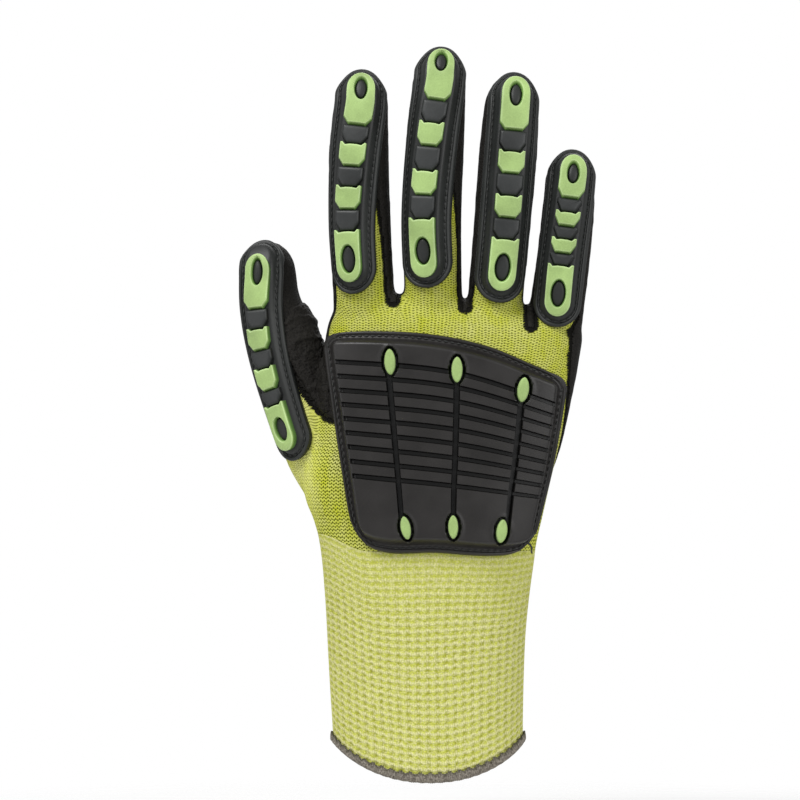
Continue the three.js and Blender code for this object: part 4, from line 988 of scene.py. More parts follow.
# the pad's height over the knit, and how far each place is sunk into a groove, channel or pocket
def padRelief(u, v, x, z):
    edge = np.minimum(np.minimum(u, 1 - u) * pad["across"], np.minimum(v, 1 - v) * pad["down"])
    corner = np.hypot(np.maximum(6 - np.minimum(u, 1 - u) * pad["across"], 0),
                      np.maximum(6 - np.minimum(v, 1 - v) * pad["down"], 0))
    edge = np.minimum(edge, np.maximum(6 - corner, 0))
    h = pad["lip"] - 1.2 * (1 - smoothStep(0, 0.55, edge))
    h = h - (pad["lip"] - pad["stitchLine"]) * smoothStep(1.1, 1.6, edge)
    h = h + (pad["body"] - pad["stitchLine"]) * smoothStep(2.2, 5.2, edge)
    body = smoothStep(2.6, 4.6, edge)
    deepest = np.zeros_like(h)
    for centre in np.linspace(pad["grooveFrom"], pad["grooveTo"], pad["grooveCount"]):
        off = np.abs(v - centre) * pad["down"]
        within = smoothStep(pad["grooveEnds"][0] - 0.012, pad["grooveEnds"][0] + 0.004, u)
        within = within * (1 - smoothStep(pad["grooveEnds"][1] - 0.004, pad["grooveEnds"][1] + 0.012, u))
        cut = (1 - smoothStep(pad["grooveHalf"] - 0.18, pad["grooveHalf"] + 0.22, off)) * within
        deepest = np.maximum(deepest, cut * (pad["body"] - pad["groove"]))
    for centre in pad["channels"]:
        off = np.abs(u - centre) * pad["across"]
        within = smoothStep(pad["channelEnds"][0] - 0.01, pad["channelEnds"][0] + 0.01, v)
        within = within * (1 - smoothStep(pad["channelEnds"][1] - 0.01, pad["channelEnds"][1] + 0.01, v))
        cut = (1 - smoothStep(pad["channelHalf"] - 0.2, pad["channelHalf"] + 0.25, off)) * within
        deepest = np.maximum(deepest, cut * (pad["body"] - pad["channel"]))
    for stud in studRows:
        off = studDistance(x, z, stud, pad["pocket"])
        cut = 1 - smoothStep(-0.15, 0.2, off)
        deepest = np.maximum(deepest, cut * (pad["body"] - pad["channel"]))
        h = h + 0.22 * np.exp(-((off - 0.5) / 0.6) ** 2) * (off > 0)
    return h - deepest * np.maximum(body, 0.55), deepest / (pad["body"] - pad["channel"])


def padHeight(u, v, x, z):
    return padRelief(u, v, x, z)[0]


def padSunk(u, v, x, z):
    return padRelief(u, v, x, z)[1]


grooveMarks = []
for centre in np.linspace(pad["grooveFrom"], pad["grooveTo"], pad["grooveCount"]):
    grooveMarks += [centre + side * off / pad["down"] for side in (-1, 1) for off in (0.3, 0.54, 0.74, 0.94)]
channelMarks = []
for centre in pad["channels"]:
    channelMarks += [centre + side * off / pad["across"] for side in (-1, 1) for off in (0.4, 0.78, 1.0, 1.23)]
rimMarks = [0.18, 0.4, 0.6, 1.1, 1.35, 1.6, 2.2, 2.8, 3.5, 4.3, 5.2]
uLines = linesWith([0, 1, *channelMarks] + [m / pad["across"] for m in rimMarks]
                   + [1 - m / pad["across"] for m in rimMarks]
                   + [pad["grooveEnds"][0] - 0.012, pad["grooveEnds"][0] + 0.004]
                   + [pad["grooveEnds"][1] - 0.004, pad["grooveEnds"][1] + 0.012],
                   0.5 / pad["across"])
vLines = linesWith([0, 1, *grooveMarks] + [m / pad["down"] for m in rimMarks]
                   + [1 - m / pad["down"] for m in rimMarks], 0.5 / pad["down"])
uGrid, vGrid = np.meshgrid(uLines, vLines)
xGrid, zGrid = padPlace(uGrid, vGrid)
topGrid = padPoint(xGrid, zGrid, padHeight(uGrid, vGrid, xGrid, zGrid))
rowCount, columnCount = uGrid.shape
points = list(topGrid.reshape(-1, 3))
faces = [(i * columnCount + j, i * columnCount + j + 1, (i + 1) * columnCount + j + 1,
          (i + 1) * columnCount + j)
         for i in range(rowCount - 1) for j in range(columnCount - 1)]
rim = ([(0, j) for j in range(columnCount)] + [(i, columnCount - 1) for i in range(1, rowCount)]
       + [(rowCount - 1, j) for j in range(columnCount - 2, -1, -1)]
       + [(i, 0) for i in range(rowCount - 2, 0, -1)])
rimTop = [i * columnCount + j for i, j in rim]
rimU, rimV = np.array([uGrid[i, j] for i, j in rim]), np.array([vGrid[i, j] for i, j in rim])
starts = []
for height, inset in ((0.9, 0.0), (pad["bottom"], 0.006)):
    u, v = inset + rimU * (1 - 2 * inset), inset + rimV * (1 - 2 * inset)
    starts.append(len(points))
    points += list(padPoint(*padPlace(u, v), np.full(len(u), height)))
count = len(rim)
for k in range(count):
    n = (k + 1) % count
    faces.append((rimTop[k], rimTop[n], starts[0] + n, starts[0] + k))
    faces.append((starts[0] + k, starts[0] + n, starts[1] + n, starts[1] + k))
# the underside is a fan of rings shrinking to the middle
lastStart = starts[1]
for shrink in (0.75, 0.5, 0.25):
    u, v = 0.5 + (rimU - 0.5) * shrink, 0.5 + (rimV - 0.5) * shrink
    start = len(points)
    points += list(padPoint(*padPlace(u, v), np.full(len(u), pad["bottom"])))
    faces += [(lastStart + k, lastStart + (k + 1) % count, start + (k + 1) % count, start + k)
              for k in range(count)]
    lastStart = start
points.append(padPoint(*padPlace(np.array([0.5]), np.array([0.5])), np.array([pad["bottom"]]))[0])
faces += [(lastStart + k, lastStart + (k + 1) % count, len(points) - 1) for k in range(count)]
padMade = makeObject("back_pad_moulded", points, faces)
# each point's height for the rubber's colour: the body's height less how far it is sunk, so grooves, channels
# and pockets get painted shade
heights = np.full(len(points), pad["body"])
heights[:topGrid.size // 3] -= padSunk(uGrid, vGrid, xGrid, zGrid).ravel() * (pad["body"] - pad["channel"])
setAttribute(padMade, "height", "FLOAT", heights)
padObject = keepCreases(facesOutward(padMade), 50)


def studOutline(stud, sides=36):
    cx, cz, length, width, lean = stud
    angle = np.linspace(0, 2 * np.pi, sides, endpoint=False)
    wide = width * np.sign(np.cos(angle)) * np.abs(np.cos(angle)) ** 1.14
    return np.stack([length * np.sin(angle), wide], -1)


studParts = []
for stud in studRows:
    co, si = math.cos(math.radians(stud[4])), math.sin(math.radians(stud[4]))
    place = lambda a, b, h, stud=stud, co=co, si=si: padPoint(stud[0] + b * co + a * si,
                                                              stud[1] + a * co - b * si, h)
    top = pad["stud"]
    studParts.append(ringSolid(place, studOutline(stud), [
        (0, pad["channel"] - 0.3), (0, top - 0.55), (0.12, top - 0.25), (0.34, top - 0.06), (0.7, top)],
        (0, 0), step=3))
studObject = keepCreases(gathered("pad_studs", studParts), 50)

# the line of stitches round the pad
perSide = 110
side = np.linspace(0, 1, perSide, endpoint=False)
inset = (pad["stitchInset"] / pad["across"], pad["stitchInset"] / pad["down"])
u = np.concatenate([side, np.ones(perSide), 1 - side, np.zeros(perSide)])
v = np.concatenate([np.zeros(perSide), side, np.ones(perSide), 1 - side])
u, v = inset[0] + u * (1 - 2 * inset[0]), inset[1] + v * (1 - 2 * inset[1])
stitchLines.append(padPoint(*padPlace(u, v), np.full(len(u), pad["stitchLine"] + 0.15)))


# Loose end of the pad's seam at its lower right corner
seamEnd = {"radius": 0.34, "path": [(34.2, 76.2, 2.0), (35.0, 75.1, 2.6), (35.6, 74.0, 2.3), (36.0, 72.9, 1.4),
                                    (36.5, 71.9, 1.0)]}


def threadTube(name, path, radius, sides=6):
    tangent = unit(np.gradient(path, axis=0))
    side = unit(np.cross(tangent, np.array([1.0, 0, 0.2])))
    other = np.cross(tangent, side)
    points = []
    for i, p in enumerate(path):
        r = radius * (1 - 0.3 * max(0, 1 - min(i, len(path) - 1 - i) / 2))
        for a in np.linspace(0, 2 * np.pi, sides, endpoint=False):
            points.append(p + side[i] * r * math.cos(a) + other[i] * r * math.sin(a))
    starts = [i * sides for i in range(len(path))]
    faces = ringFaces(starts, sides) + [tuple(range(sides)), tuple(starts[-1] + k for k in range(sides))]
    return facesOutward(makeObject(name, points, faces))


seamEndPath = [padPoint(x, z, h) for x, z, h in seamEnd["path"]]
seamEndObject = threadTube("seam_thread_end", throughSpace(seamEndPath, 24), seamEnd["radius"])


# Cuff: waffle knit, a grid round the wrist with its relief in the mesh

print("cuff")
cuff = {
    "columns": 54, "rows": 31,          # cells round the wrist and up it
    "ribRise": 0.26, "rowRise": 0.26,   # how far ribs and rows of yarn stand out
    "wall": 1.7, "wander": 0.16,
    "perColumn": 8, "perRow": 6,
}
hem = {
    "side": 4, "back": -9.3, "palm": -4.8, "power": 1.35,   # height of its line at the sides, behind and before
    # the threads' height, and how far the cuff reaches into it
    "band": 3.2, "overlap": 1.4,
}


def hemLine(angle):
    faced = np.sin(angle)
    faced = np.sign(faced) * (np.sqrt(faced**2 + 0.02) - 0.02**0.5) / (1.02**0.5 - 0.02**0.5)
    droop = np.where(faced < 0, hem["back"], hem["palm"])
    return hem["side"] + (droop - hem["side"]) * np.abs(faced) ** hem["power"]


# angles that share out the girth evenly, so that the cells keep their width round the sides
fineAngle = np.linspace(0, 2 * np.pi, 4001)
girth = np.concatenate([[0], np.cumsum(np.linalg.norm(np.diff(handPoint(35, fineAngle, 0), axis=0), axis=1))])
around = cuff["columns"] * cuff["perColumn"]
evenAngle = np.interp(np.linspace(0, girth[-1], around, endpoint=False), girth, fineAngle)
levels = cuff["rows"] * cuff["perRow"] + 1
column = np.arange(around) / cuff["perColumn"]


# heights round the cuff, a share of the way up from the overlocked edge
def cuffHeights(share):
    low = hemLine(evenAngle) + hem["band"] - hem["overlap"]
    return low + (cuffTopAt(evenAngle) + 0.1 - low) * share


cuffPoints, cuffCells = [], []
for level in range(levels):
    row = level / cuff["perRow"]
    t = row / cuff["rows"]
    z = cuffHeights(t)
    c = column + cuff["wander"] * np.sin(2 * np.pi * column / 9 + 3 * t) * 0.5
    r = row + cuff["wander"] * np.sin(2 * np.pi * column / 13.5 + 5 * t)
    rib = np.abs(np.cos(np.pi * c)) ** 2.2
    course = np.abs(np.cos(np.pi * r)) ** 4
    fade = smoothStep(0, 0.04, t) * (1 - smoothStep(0.95, 1, t))
    rise = np.maximum(cuff["ribRise"] * rib, cuff["rowRise"] * course) * fade
    sag = 0.35 * np.sin(2.2 * np.pi * t + 1.2 * np.sin(evenAngle)) * smoothStep(0, 0.2, t)
    sag = sag * (1 - smoothStep(0.85, 1, t))
    flat = handPoint(z, evenAngle, 0)
    cuffPoints.append(flat + (handPoint(z, evenAngle, 1) - flat) * (rise - 0.15 * fade + sag * 0.5)[:, None])
    cuffCells.append(np.stack([c, r, np.zeros(around)], -1))
cuffPoints = np.vstack(cuffPoints)
outerCount = len(cuffPoints)
inner, innerCells = [], []
for level in range(levels - 1, -1, -6):
    t = level / (levels - 1)
    inner.append(handPoint(cuffHeights(t), evenAngle, -cuff["wall"]))
    innerCells.append(np.stack([column, np.full(around, t * cuff["rows"]), np.zeros(around)], -1))
starts = [i * around for i in range(levels)] + [outerCount + i * around for i in range(len(inner))]
cuffFaces = ringFaces(starts, around, closedLoop=True)
cuffObject = facesOutward(makeObject("waffle_cuff", np.vstack([cuffPoints, *inner]), cuffFaces))
setAttribute(cuffObject, "cells", "FLOAT_VECTOR", np.vstack(cuffCells + innerCells))


# Overlocked edge: a soft band with threads wrapped over it by Geometry Nodes

print("overlocked edge")
overlock = {"threads": 270, "threadRadius": 0.44, "perTooth": 5, "toothRise": 0.4, "proud": 0.5}


def addNode(tree, kind, feeds=(), **settings):
    made = tree.nodes.new(kind)
    for name, value in settings.items():
        setattr(made, name, value)
    for socket, source in dict(feeds).items():
        if isinstance(source, bpy.types.Node):
            source = source.outputs[0]
        if isinstance(source, bpy.types.NodeSocket):
            tree.links.new(source, made.inputs[socket])
        else:
            made.inputs[socket].default_value = source
    return made


# runs a node tree on an object once and keeps the result as its plain mesh; inputs are given by their names
def growWith(obj, tree, **inputs):
    grower = obj.modifiers.new("grow", "NODES")
    grower.node_group = tree
    named = {item.name: item.identifier for item in tree.interface.items_tree
             if item.item_type == "SOCKET" and item.in_out == "INPUT"}
    for name, value in inputs.items():
        grower[named[name]] = value
    bpy.context.view_layer.update()
    mesh = bpy.data.meshes.new_from_object(obj.evaluated_get(bpy.context.evaluated_depsgraph_get()))
    obj.modifiers.remove(grower)
    obj.data = mesh
    mesh.polygons.foreach_set("use_smooth", [True] * len(mesh.polygons))
    return obj


def emptyTree(name, sockets):
    tree = bpy.data.node_groups.new(name, "GeometryNodeTree")
    tree.interface.new_socket("Geometry", in_out="INPUT", socket_type="NodeSocketGeometry")
    for label, kind, value in sockets:
        made = tree.interface.new_socket(label, in_out="INPUT", socket_type=kind)
        if value is not None:
            made.default_value = value
    tree.interface.new_socket("Geometry", in_out="OUTPUT", socket_type="NodeSocketGeometry")
    return tree, tree.nodes.new("NodeGroupInput"), tree.nodes.new("NodeGroupOutput")


def endTree(tree, groupOut, instances, material):
    real = addNode(tree, "GeometryNodeRealizeInstances", {0: instances})
    named = addNode(tree, "GeometryNodeSetMaterial", {0: real, "Material": material})
    tree.links.new(named.outputs[0], groupOut.inputs[0])


def loopObject(name, loops):
    points, edges, count = [], [], 0
    for loop in loops:
        points += list(loop)
        edges += [(count + k, count + (k + 1) % len(loop)) for k in range(len(loop))]
        count += len(loop)
    mesh = bpy.data.meshes.new(name)
    mesh.from_pydata((np.array(points) / 1000).tolist(), edges, [])
    made = bpy.data.objects.new(name, mesh)
    bpy.context.scene.collection.objects.link(made)
    return made


# one wrapped thread: up the outside from under the edge, and up the inside, standing on the hem line
def threadShape():
    half = 0.9 + overlock["proud"] + 0.12
    path = [(-0.5, half + 0.02, 3.9), (-0.32, half + 0.1, 2.9), (0, half + 0.12, 1.8),
            (0.15, half + 0.05, 0.75), (0.3, half * 0.62, 0.08), (0.35, 0, -0.12), (0.3, -half * 0.62, 0.08),
            (0.15, -half - 0.05, 0.75), (0, -half - 0.12, 1.8), (-0.3, -half - 0.02, 3.4)]
    thread = threadTube("thread_shape", throughSpace(path, 22), overlock["threadRadius"])
    setAttribute(thread, "tipward", "FLOAT", smoothStep(2.3, 3.3, pointsOf(thread)[:, 2]))
    return thread


bandSides = 240
bandAngles = np.interp(np.linspace(0, girth[-1], bandSides, endpoint=False), girth, fineAngle)
# the band's section, as how far out from the cuff and how high over the hem line
bandSection = [(0.1, 2.7), (0.38, 2.2), (0.42, 0.8), (0.1, 0.25), (-0.9, 0.1), (-1.9, 0.25), (-2.2, 0.8),
               (-2.2, 2.3), (-2.0, 2.8), (-0.9, 2.9)]
bandRings = [handPoint(hemLine(bandAngles) + lift, bandAngles, offset) for offset, lift in bandSection]
bandFaces = ringFaces([i * bandSides for i in range(len(bandRings))], bandSides, closedLoop=True)
bandObject = facesOutward(makeObject("overlock_band", np.vstack(bandRings), bandFaces))


# Materials

print("materials")


def srgb(text):
    values = [int(text[i:i + 2], 16) / 255 for i in (1, 3, 5)]
    return tuple(v / 12.92 if v <= 0.04045 else ((v + 0.055) / 1.055) ** 2.4 for v in values) + (1.0,)


def newMaterial(name):
    material = bpy.data.materials.new(name)
    material.use_nodes = True
    tree = material.node_tree
    tree.nodes.clear()
    shader = addNode(tree, "ShaderNodeBsdfPrincipled")
    addNode(tree, "ShaderNodeOutputMaterial", {"Surface": shader})
    return material, tree, shader


# gives a material its colour, roughness and shine, and a relief of some strength whose depth is in metres
def finishShader(tree, shader, colour, roughness, specular, relief, strength, depth):
    tree.links.new(colour, shader.inputs["Base Color"])
    shader.inputs["Roughness"].default_value = roughness
    shader.inputs["Specular IOR Level"].default_value = specular
    bump = addNode(tree, "ShaderNodeBump", {"Height": relief, "Strength": strength, "Distance": depth})
    tree.links.new(bump.outputs[0], shader.inputs["Normal"])


# the colours of a ramp, as places from 0 to 1 and hex values
def fillRamp(ramp, stops):
    elements = ramp.color_ramp.elements
    elements[0].position, elements[0].color = stops[0][0], srgb(stops[0][1])
    elements[1].position, elements[1].color = stops[-1][0], srgb(stops[-1][1])
    for place, colour in stops[1:-1]:
        elements.new(place).color = srgb(colour)


# a wave that turns through so many half circles while the value grows by one
def waveOf(tree, value, halfTurns, operation="COSINE"):
    turn = addNode(tree, "ShaderNodeMath", {0: value, 1: halfTurns * math.pi}, operation="MULTIPLY")
    return addNode(tree, "ShaderNodeMath", {0: turn}, operation=operation)


# Cut-resistant yarn, plain knit: soft matt loops whose slanting legs leave small dark gaps, staggered leg by
# leg. It is spun of a yellow and a cream strand, so the colour wanders between the two. Sizes are millimetres.
yarn = {
    "wale": 2.5, "course": 0.92,            # width and height of a loop
    "gap": "#646A04", "yellow": "#C3C92A", "cream": "#D6D68A", "soaked": "#141310",
    "smooth": (-37.5, -43),                 # X limits where it turns smooth towards the thumb, and is painted lighter
    "stretched": (136, 112),                # heights over which it is stretched more and more
    "inward": (-42.5, -38.5),               # and the X limits where that ends at the thumb
    "knuckles": (138, 152),                 # heights over which painted shade darkens it
}


def handYarn():
    material, tree, shader = newMaterial("knitted_cut_resistant_yarn")
    where = addNode(tree, "ShaderNodeTexCoord").outputs["Object"]
    wobble = addNode(tree, "ShaderNodeTexNoise", {"Vector": where, "Scale": 420, "Detail": 2})
    shift = addNode(tree, "ShaderNodeMath", {0: wobble, 1: 0.5}, operation="SUBTRACT")
    courseAt = addNode(tree, "ShaderNodeAttribute", attribute_name="courseAt").outputs["Fac"]
    waleAt = addNode(tree, "ShaderNodeAttribute", attribute_name="waleAt").outputs["Fac"]
    # each wale is two legs leaning against each other, so the rows run in low zigzags
    alongKnit = addNode(tree, "ShaderNodeMath", {0: shift, 1: 1.1, 2: courseAt}, operation="MULTIPLY_ADD")
    upKnit = addNode(tree, "ShaderNodeMath", {0: shift, 1: 0.8, 2: waleAt}, operation="MULTIPLY_ADD")
    column = addNode(tree, "ShaderNodeMath", {0: alongKnit, 1: yarn["wale"]}, operation="DIVIDE")
    course = addNode(tree, "ShaderNodeMath", {0: upKnit, 1: yarn["course"]}, operation="DIVIDE")
    inWale = addNode(tree, "ShaderNodeMath", {0: column}, operation="FRACT")
    fromMiddle = addNode(tree, "ShaderNodeMath", {0: inWale, 1: 0.5}, operation="SUBTRACT")
    away = addNode(tree, "ShaderNodeMath", {0: fromMiddle}, operation="ABSOLUTE")
    row = addNode(tree, "ShaderNodeMath", {0: course, 1: away}, operation="ADD")
    rowWave = waveOf(tree, row, 2)
    between = addNode(tree, "ShaderNodeMath", {0: rowWave, 1: 0.5, 2: 0.5}, operation="MULTIPLY_ADD")
    sharpRow = addNode(tree, "ShaderNodeMath", {0: between, 1: 2.2}, operation="POWER")
    turning = addNode(tree, "ShaderNodeMath", {0: waveOf(tree, column, 2)}, operation="ABSOLUTE")
    sharpLeg = addNode(tree, "ShaderNodeMath", {0: turning, 1: 1.3}, operation="POWER")
    dashes = addNode(tree, "ShaderNodeMath", {0: sharpLeg, 1: 0.95, 2: 0.1}, operation="MULTIPLY_ADD")
    gap = addNode(tree, "ShaderNodeMath", {0: sharpRow, 1: dashes}, operation="MULTIPLY")
    height = addNode(tree, "ShaderNodeMath", {0: 1, 1: gap}, operation="SUBTRACT")
    fibre = addNode(tree, "ShaderNodeTexNoise", {"Vector": where, "Scale": 2300, "Detail": 3, "Roughness": 0.6})
    upright = addNode(tree, "ShaderNodeVectorMath", {0: where, 1: (1.15, 1, 0.5)}, operation="MULTIPLY")
    patches = addNode(tree, "ShaderNodeTexNoise",
                      {"Vector": upright, "Scale": 110, "Detail": 4, "Roughness": 0.7})
    spun = addNode(tree, "ShaderNodeMath", {0: fibre, 1: 0.5, 2: patches}, operation="MULTIPLY_ADD")
    # round the thumb's side the knit is pulled smooth and shows more of the cream yarn, partly as painted light
    # on that side
    position = addNode(tree, "ShaderNodeSeparateXYZ", {0: where})
    smooth = addNode(tree, "ShaderNodeMapRange", {
        "Value": position.outputs["X"], "From Min": yarn["smooth"][0] / 1000,
        "From Max": yarn["smooth"][1] / 1000, "To Max": 0.75})
    flecks = addNode(tree, "ShaderNodeMapRange",
                     {"Value": spun, "From Min": 0.56, "From Max": 1.02, "To Max": 0.9})
    creamy = addNode(tree, "ShaderNodeMath", {0: smooth, 1: 0.3, 2: flecks}, operation="MULTIPLY_ADD",
                     use_clamp=True)
    strand = addNode(tree, "ShaderNodeMix", {0: creamy, 6: srgb(yarn["yellow"]), 7: srgb(yarn["cream"])},
                     data_type="RGBA")
    ragged = addNode(tree, "ShaderNodeMath", {0: fibre, 1: 0.4, 2: height}, operation="MULTIPLY_ADD")
    # towards the wrist the knit is stretched, so its gaps are wider and darker
    lowDown = addNode(tree, "ShaderNodeMapRange", {
        "Value": position.outputs["Z"], "From Min": yarn["stretched"][0] / 1000,
        "From Max": yarn["stretched"][1] / 1000})
    inward = addNode(tree, "ShaderNodeMapRange", {
        "Value": position.outputs["X"], "From Min": yarn["inward"][0] / 1000,
        "From Max": yarn["inward"][1] / 1000})
    stretched = addNode(tree, "ShaderNodeMath", {0: lowDown, 1: inward}, operation="MULTIPLY")
    darkest = addNode(tree, "ShaderNodeMath", {0: stretched, 1: 0.44, 2: 0.36}, operation="MULTIPLY_ADD")
    lightest = addNode(tree, "ShaderNodeMath", {0: stretched, 1: 0.08, 2: 1.0}, operation="MULTIPLY_ADD")
    deep = addNode(tree, "ShaderNodeMapRange", {"Value": ragged, "From Min": darkest, "From Max": lightest})
    filled = addNode(tree, "ShaderNodeMath", {0: deep, 1: smooth}, operation="MAXIMUM")
    knit = addNode(tree, "ShaderNodeMix", {0: filled, 6: srgb(yarn["gap"]), 7: strand.outputs[2]},
                   data_type="RGBA")
    # painted shade over the knuckles, painted light round the thumb's side
    knuckleShade = addNode(tree, "ShaderNodeMapRange", {
        "Value": position.outputs["Z"], "From Min": yarn["knuckles"][0] / 1000,
        "From Max": yarn["knuckles"][1] / 1000, "To Min": 1, "To Max": 0.87})
    # painted light and shade: the knit's colour is raised on the thumb's side and lowered over the knuckles
    paintedLightAndShade = addNode(tree, "ShaderNodeMath", {0: smooth, 1: 0.2, 2: knuckleShade}, operation="MULTIPLY_ADD")
    knitWithPaintedLight = addNode(tree, "ShaderNodeMix", {0: 1.0, 6: knit.outputs[2], 7: paintedLightAndShade}, data_type="RGBA",
                    blend_type="MULTIPLY")
    # the coating soaks in along a ragged edge, further where a loop stands up
    soaked = addNode(tree, "ShaderNodeAttribute", attribute_name="coated").outputs["Fac"]
    edge = addNode(tree, "ShaderNodeTexNoise", {"Vector": where, "Scale": 450, "Detail": 3, "Roughness": 0.6})
    frayed = addNode(tree, "ShaderNodeMath", {0: edge, 1: 1.7, 2: -1.25}, operation="MULTIPLY_ADD")
    onLoops = addNode(tree, "ShaderNodeMath", {0: height, 1: 0.7, 2: frayed}, operation="MULTIPLY_ADD")
    reach = addNode(tree, "ShaderNodeMath", {0: soaked, 1: onLoops}, operation="ADD")
    mask = addNode(tree, "ShaderNodeMapRange", {"Value": reach, "From Min": 0.1, "From Max": 0.4})
    dipped = addNode(tree, "ShaderNodeMix", {0: mask, 6: knitWithPaintedLight.outputs[2], 7: srgb(yarn["soaked"])},
                     data_type="RGBA")
    relief = addNode(tree, "ShaderNodeMath", {0: fibre, 1: 0.3, 2: height}, operation="MULTIPLY_ADD")
    finishShader(tree, shader, dipped.outputs[2], 0.9, 0.12, relief, 0.9, 0.00035)
    return material


# Elastic waffle yarn of the cuff: cream threads in beads along each row, yellow ribs of small loops and olive
# cells, matt and dry. Its fibres are far finer than the camera sees, so they are drawn half a millimetre wide.
waffle = {
    "cell": "#A2A53A", "rib": "#D2D662", "row": "#E6E2AE", "cream": "#E0DDA2",
    "wander": 0.55, "loops": 3, "beads": 4,     # loops up a cell and beads across it
    # rows from the top where the waffle starts to fade and has faded
    "fadeRows": (13, 1),
}


def cuffYarn():
    material, tree, shader = newMaterial("elastic_waffle_yarn")
    where = addNode(tree, "ShaderNodeTexCoord").outputs["Object"]
    cells = addNode(tree, "ShaderNodeAttribute", attribute_name="cells").outputs["Vector"]
    place = addNode(tree, "ShaderNodeSeparateXYZ", {0: cells})
    wobble = addNode(tree, "ShaderNodeTexNoise",
                     {"Vector": where, "Scale": 1100, "Detail": 3, "Roughness": 0.65})
    shift = addNode(tree, "ShaderNodeMath", {0: wobble, 1: waffle["wander"], 2: -waffle["wander"] / 2},
                    operation="MULTIPLY_ADD")
    columnWave = waveOf(tree, place.outputs["X"], 2)
    scalloped = addNode(tree, "ShaderNodeMath", {0: columnWave, 1: 0.08, 2: place.outputs["Y"]},
                        operation="MULTIPLY_ADD")
    up = addNode(tree, "ShaderNodeMath", {0: scalloped, 1: shift}, operation="ADD")
    upWave = waveOf(tree, up, 2, "SINE")
    sloped = addNode(tree, "ShaderNodeMath", {0: upWave, 1: 0.1, 2: place.outputs["X"]},
                     operation="MULTIPLY_ADD")
    across = addNode(tree, "ShaderNodeMath", {0: sloped, 1: shift}, operation="SUBTRACT")
    ribWide = addNode(tree, "ShaderNodeMath", {0: waveOf(tree, across, 1)}, operation="ABSOLUTE")
    rib = addNode(tree, "ShaderNodeMath", {0: ribWide, 1: 1.8}, operation="POWER")
    rowWide = addNode(tree, "ShaderNodeMath", {0: waveOf(tree, up, 1)}, operation="ABSOLUTE")
    row = addNode(tree, "ShaderNodeMath", {0: rowWide, 1: 3.6}, operation="POWER")
    fibre = addNode(tree, "ShaderNodeTexNoise", {"Vector": where, "Scale": 2000, "Detail": 3, "Roughness": 0.7})
    mottle = addNode(tree, "ShaderNodeTexNoise", {"Vector": where, "Scale": 1300, "Detail": 2})
    # small loops up each cell, slanting to each side of the rib
    halfOver = addNode(tree, "ShaderNodeMath", {0: place.outputs["X"], 1: 0.5}, operation="ADD")
    inCell = addNode(tree, "ShaderNodeMath", {0: halfOver}, operation="FRACT")
    fromMiddle = addNode(tree, "ShaderNodeMath", {0: inCell, 1: 0.5}, operation="SUBTRACT")
    slant = addNode(tree, "ShaderNodeMath", {0: fromMiddle}, operation="ABSOLUTE")
    leaning = addNode(tree, "ShaderNodeMath", {0: slant, 1: 2.4}, operation="MULTIPLY")
    loopCount = addNode(tree, "ShaderNodeMath", {0: up, 1: waffle["loops"], 2: leaning},
                        operation="MULTIPLY_ADD")
    loopWave = waveOf(tree, loopCount, 2)
    loops = addNode(tree, "ShaderNodeMath", {0: loopWave, 1: 0.5, 2: 0.5}, operation="MULTIPLY_ADD")
    beadWave = waveOf(tree, place.outputs["X"], waffle["beads"] * 2)
    bead = addNode(tree, "ShaderNodeMath", {0: beadWave, 1: 0.24, 2: 0.66}, operation="MULTIPLY_ADD")
    loopShare = addNode(tree, "ShaderNodeMath", {0: loops, 1: 0.45, 2: 0.55}, operation="MULTIPLY_ADD")
    ribShare = addNode(tree, "ShaderNodeMath", {0: rib, 1: loopShare}, operation="MULTIPLY")
    # near its top the cuff is pulled up round the hand: its cells and rows fade into plain loops
    pulled = addNode(tree, "ShaderNodeMapRange", {
        "Value": place.outputs["Y"], "From Min": cuff["rows"] - waffle["fadeRows"][0],
        "From Max": cuff["rows"] - waffle["fadeRows"][1], "To Max": 0.55})
    ribShown = addNode(tree, "ShaderNodeMath", {0: ribShare, 1: pulled}, operation="MAXIMUM")
    ground = addNode(tree, "ShaderNodeMix", {0: ribShown, 6: srgb(waffle["cell"]), 7: srgb(waffle["rib"])},
                     data_type="RGBA")
    creamy = addNode(tree, "ShaderNodeMapRange",
                     {"Value": mottle, "From Min": 0.46, "From Max": 0.74, "To Max": 0.8})
    spun = addNode(tree, "ShaderNodeMix", {0: creamy, 6: ground.outputs[2], 7: srgb(waffle["cream"])},
                   data_type="RGBA")
    faint = addNode(tree, "ShaderNodeMath", {0: pulled, 1: -0.45, 2: 1}, operation="MULTIPLY_ADD")
    fadedBead = addNode(tree, "ShaderNodeMath", {0: bead, 1: faint}, operation="MULTIPLY")
    rowShare = addNode(tree, "ShaderNodeMath", {0: row, 1: fadedBead}, operation="MULTIPLY")
    woven = addNode(tree, "ShaderNodeMix", {0: rowShare, 6: spun.outputs[2], 7: srgb(waffle["row"])},
                    data_type="RGBA")
    dusk = addNode(tree, "ShaderNodeMath", {0: fibre, 1: 0.94, 2: 0.45}, operation="MULTIPLY_ADD")
    shaded = addNode(tree, "ShaderNodeMix", {0: 1.0, 6: woven.outputs[2], 7: dusk}, data_type="RGBA",
                     blend_type="MULTIPLY")
    loopRise = addNode(tree, "ShaderNodeMath", {0: loops, 1: 0.35, 2: rowShare}, operation="MULTIPLY_ADD")
    relief = addNode(tree, "ShaderNodeMath", {0: fibre, 1: 0.7, 2: loopRise}, operation="MULTIPLY_ADD")
    finishShader(tree, shader, shaded.outputs[2], 0.92, 0.1, relief, 0.8, 0.00025)
    return material


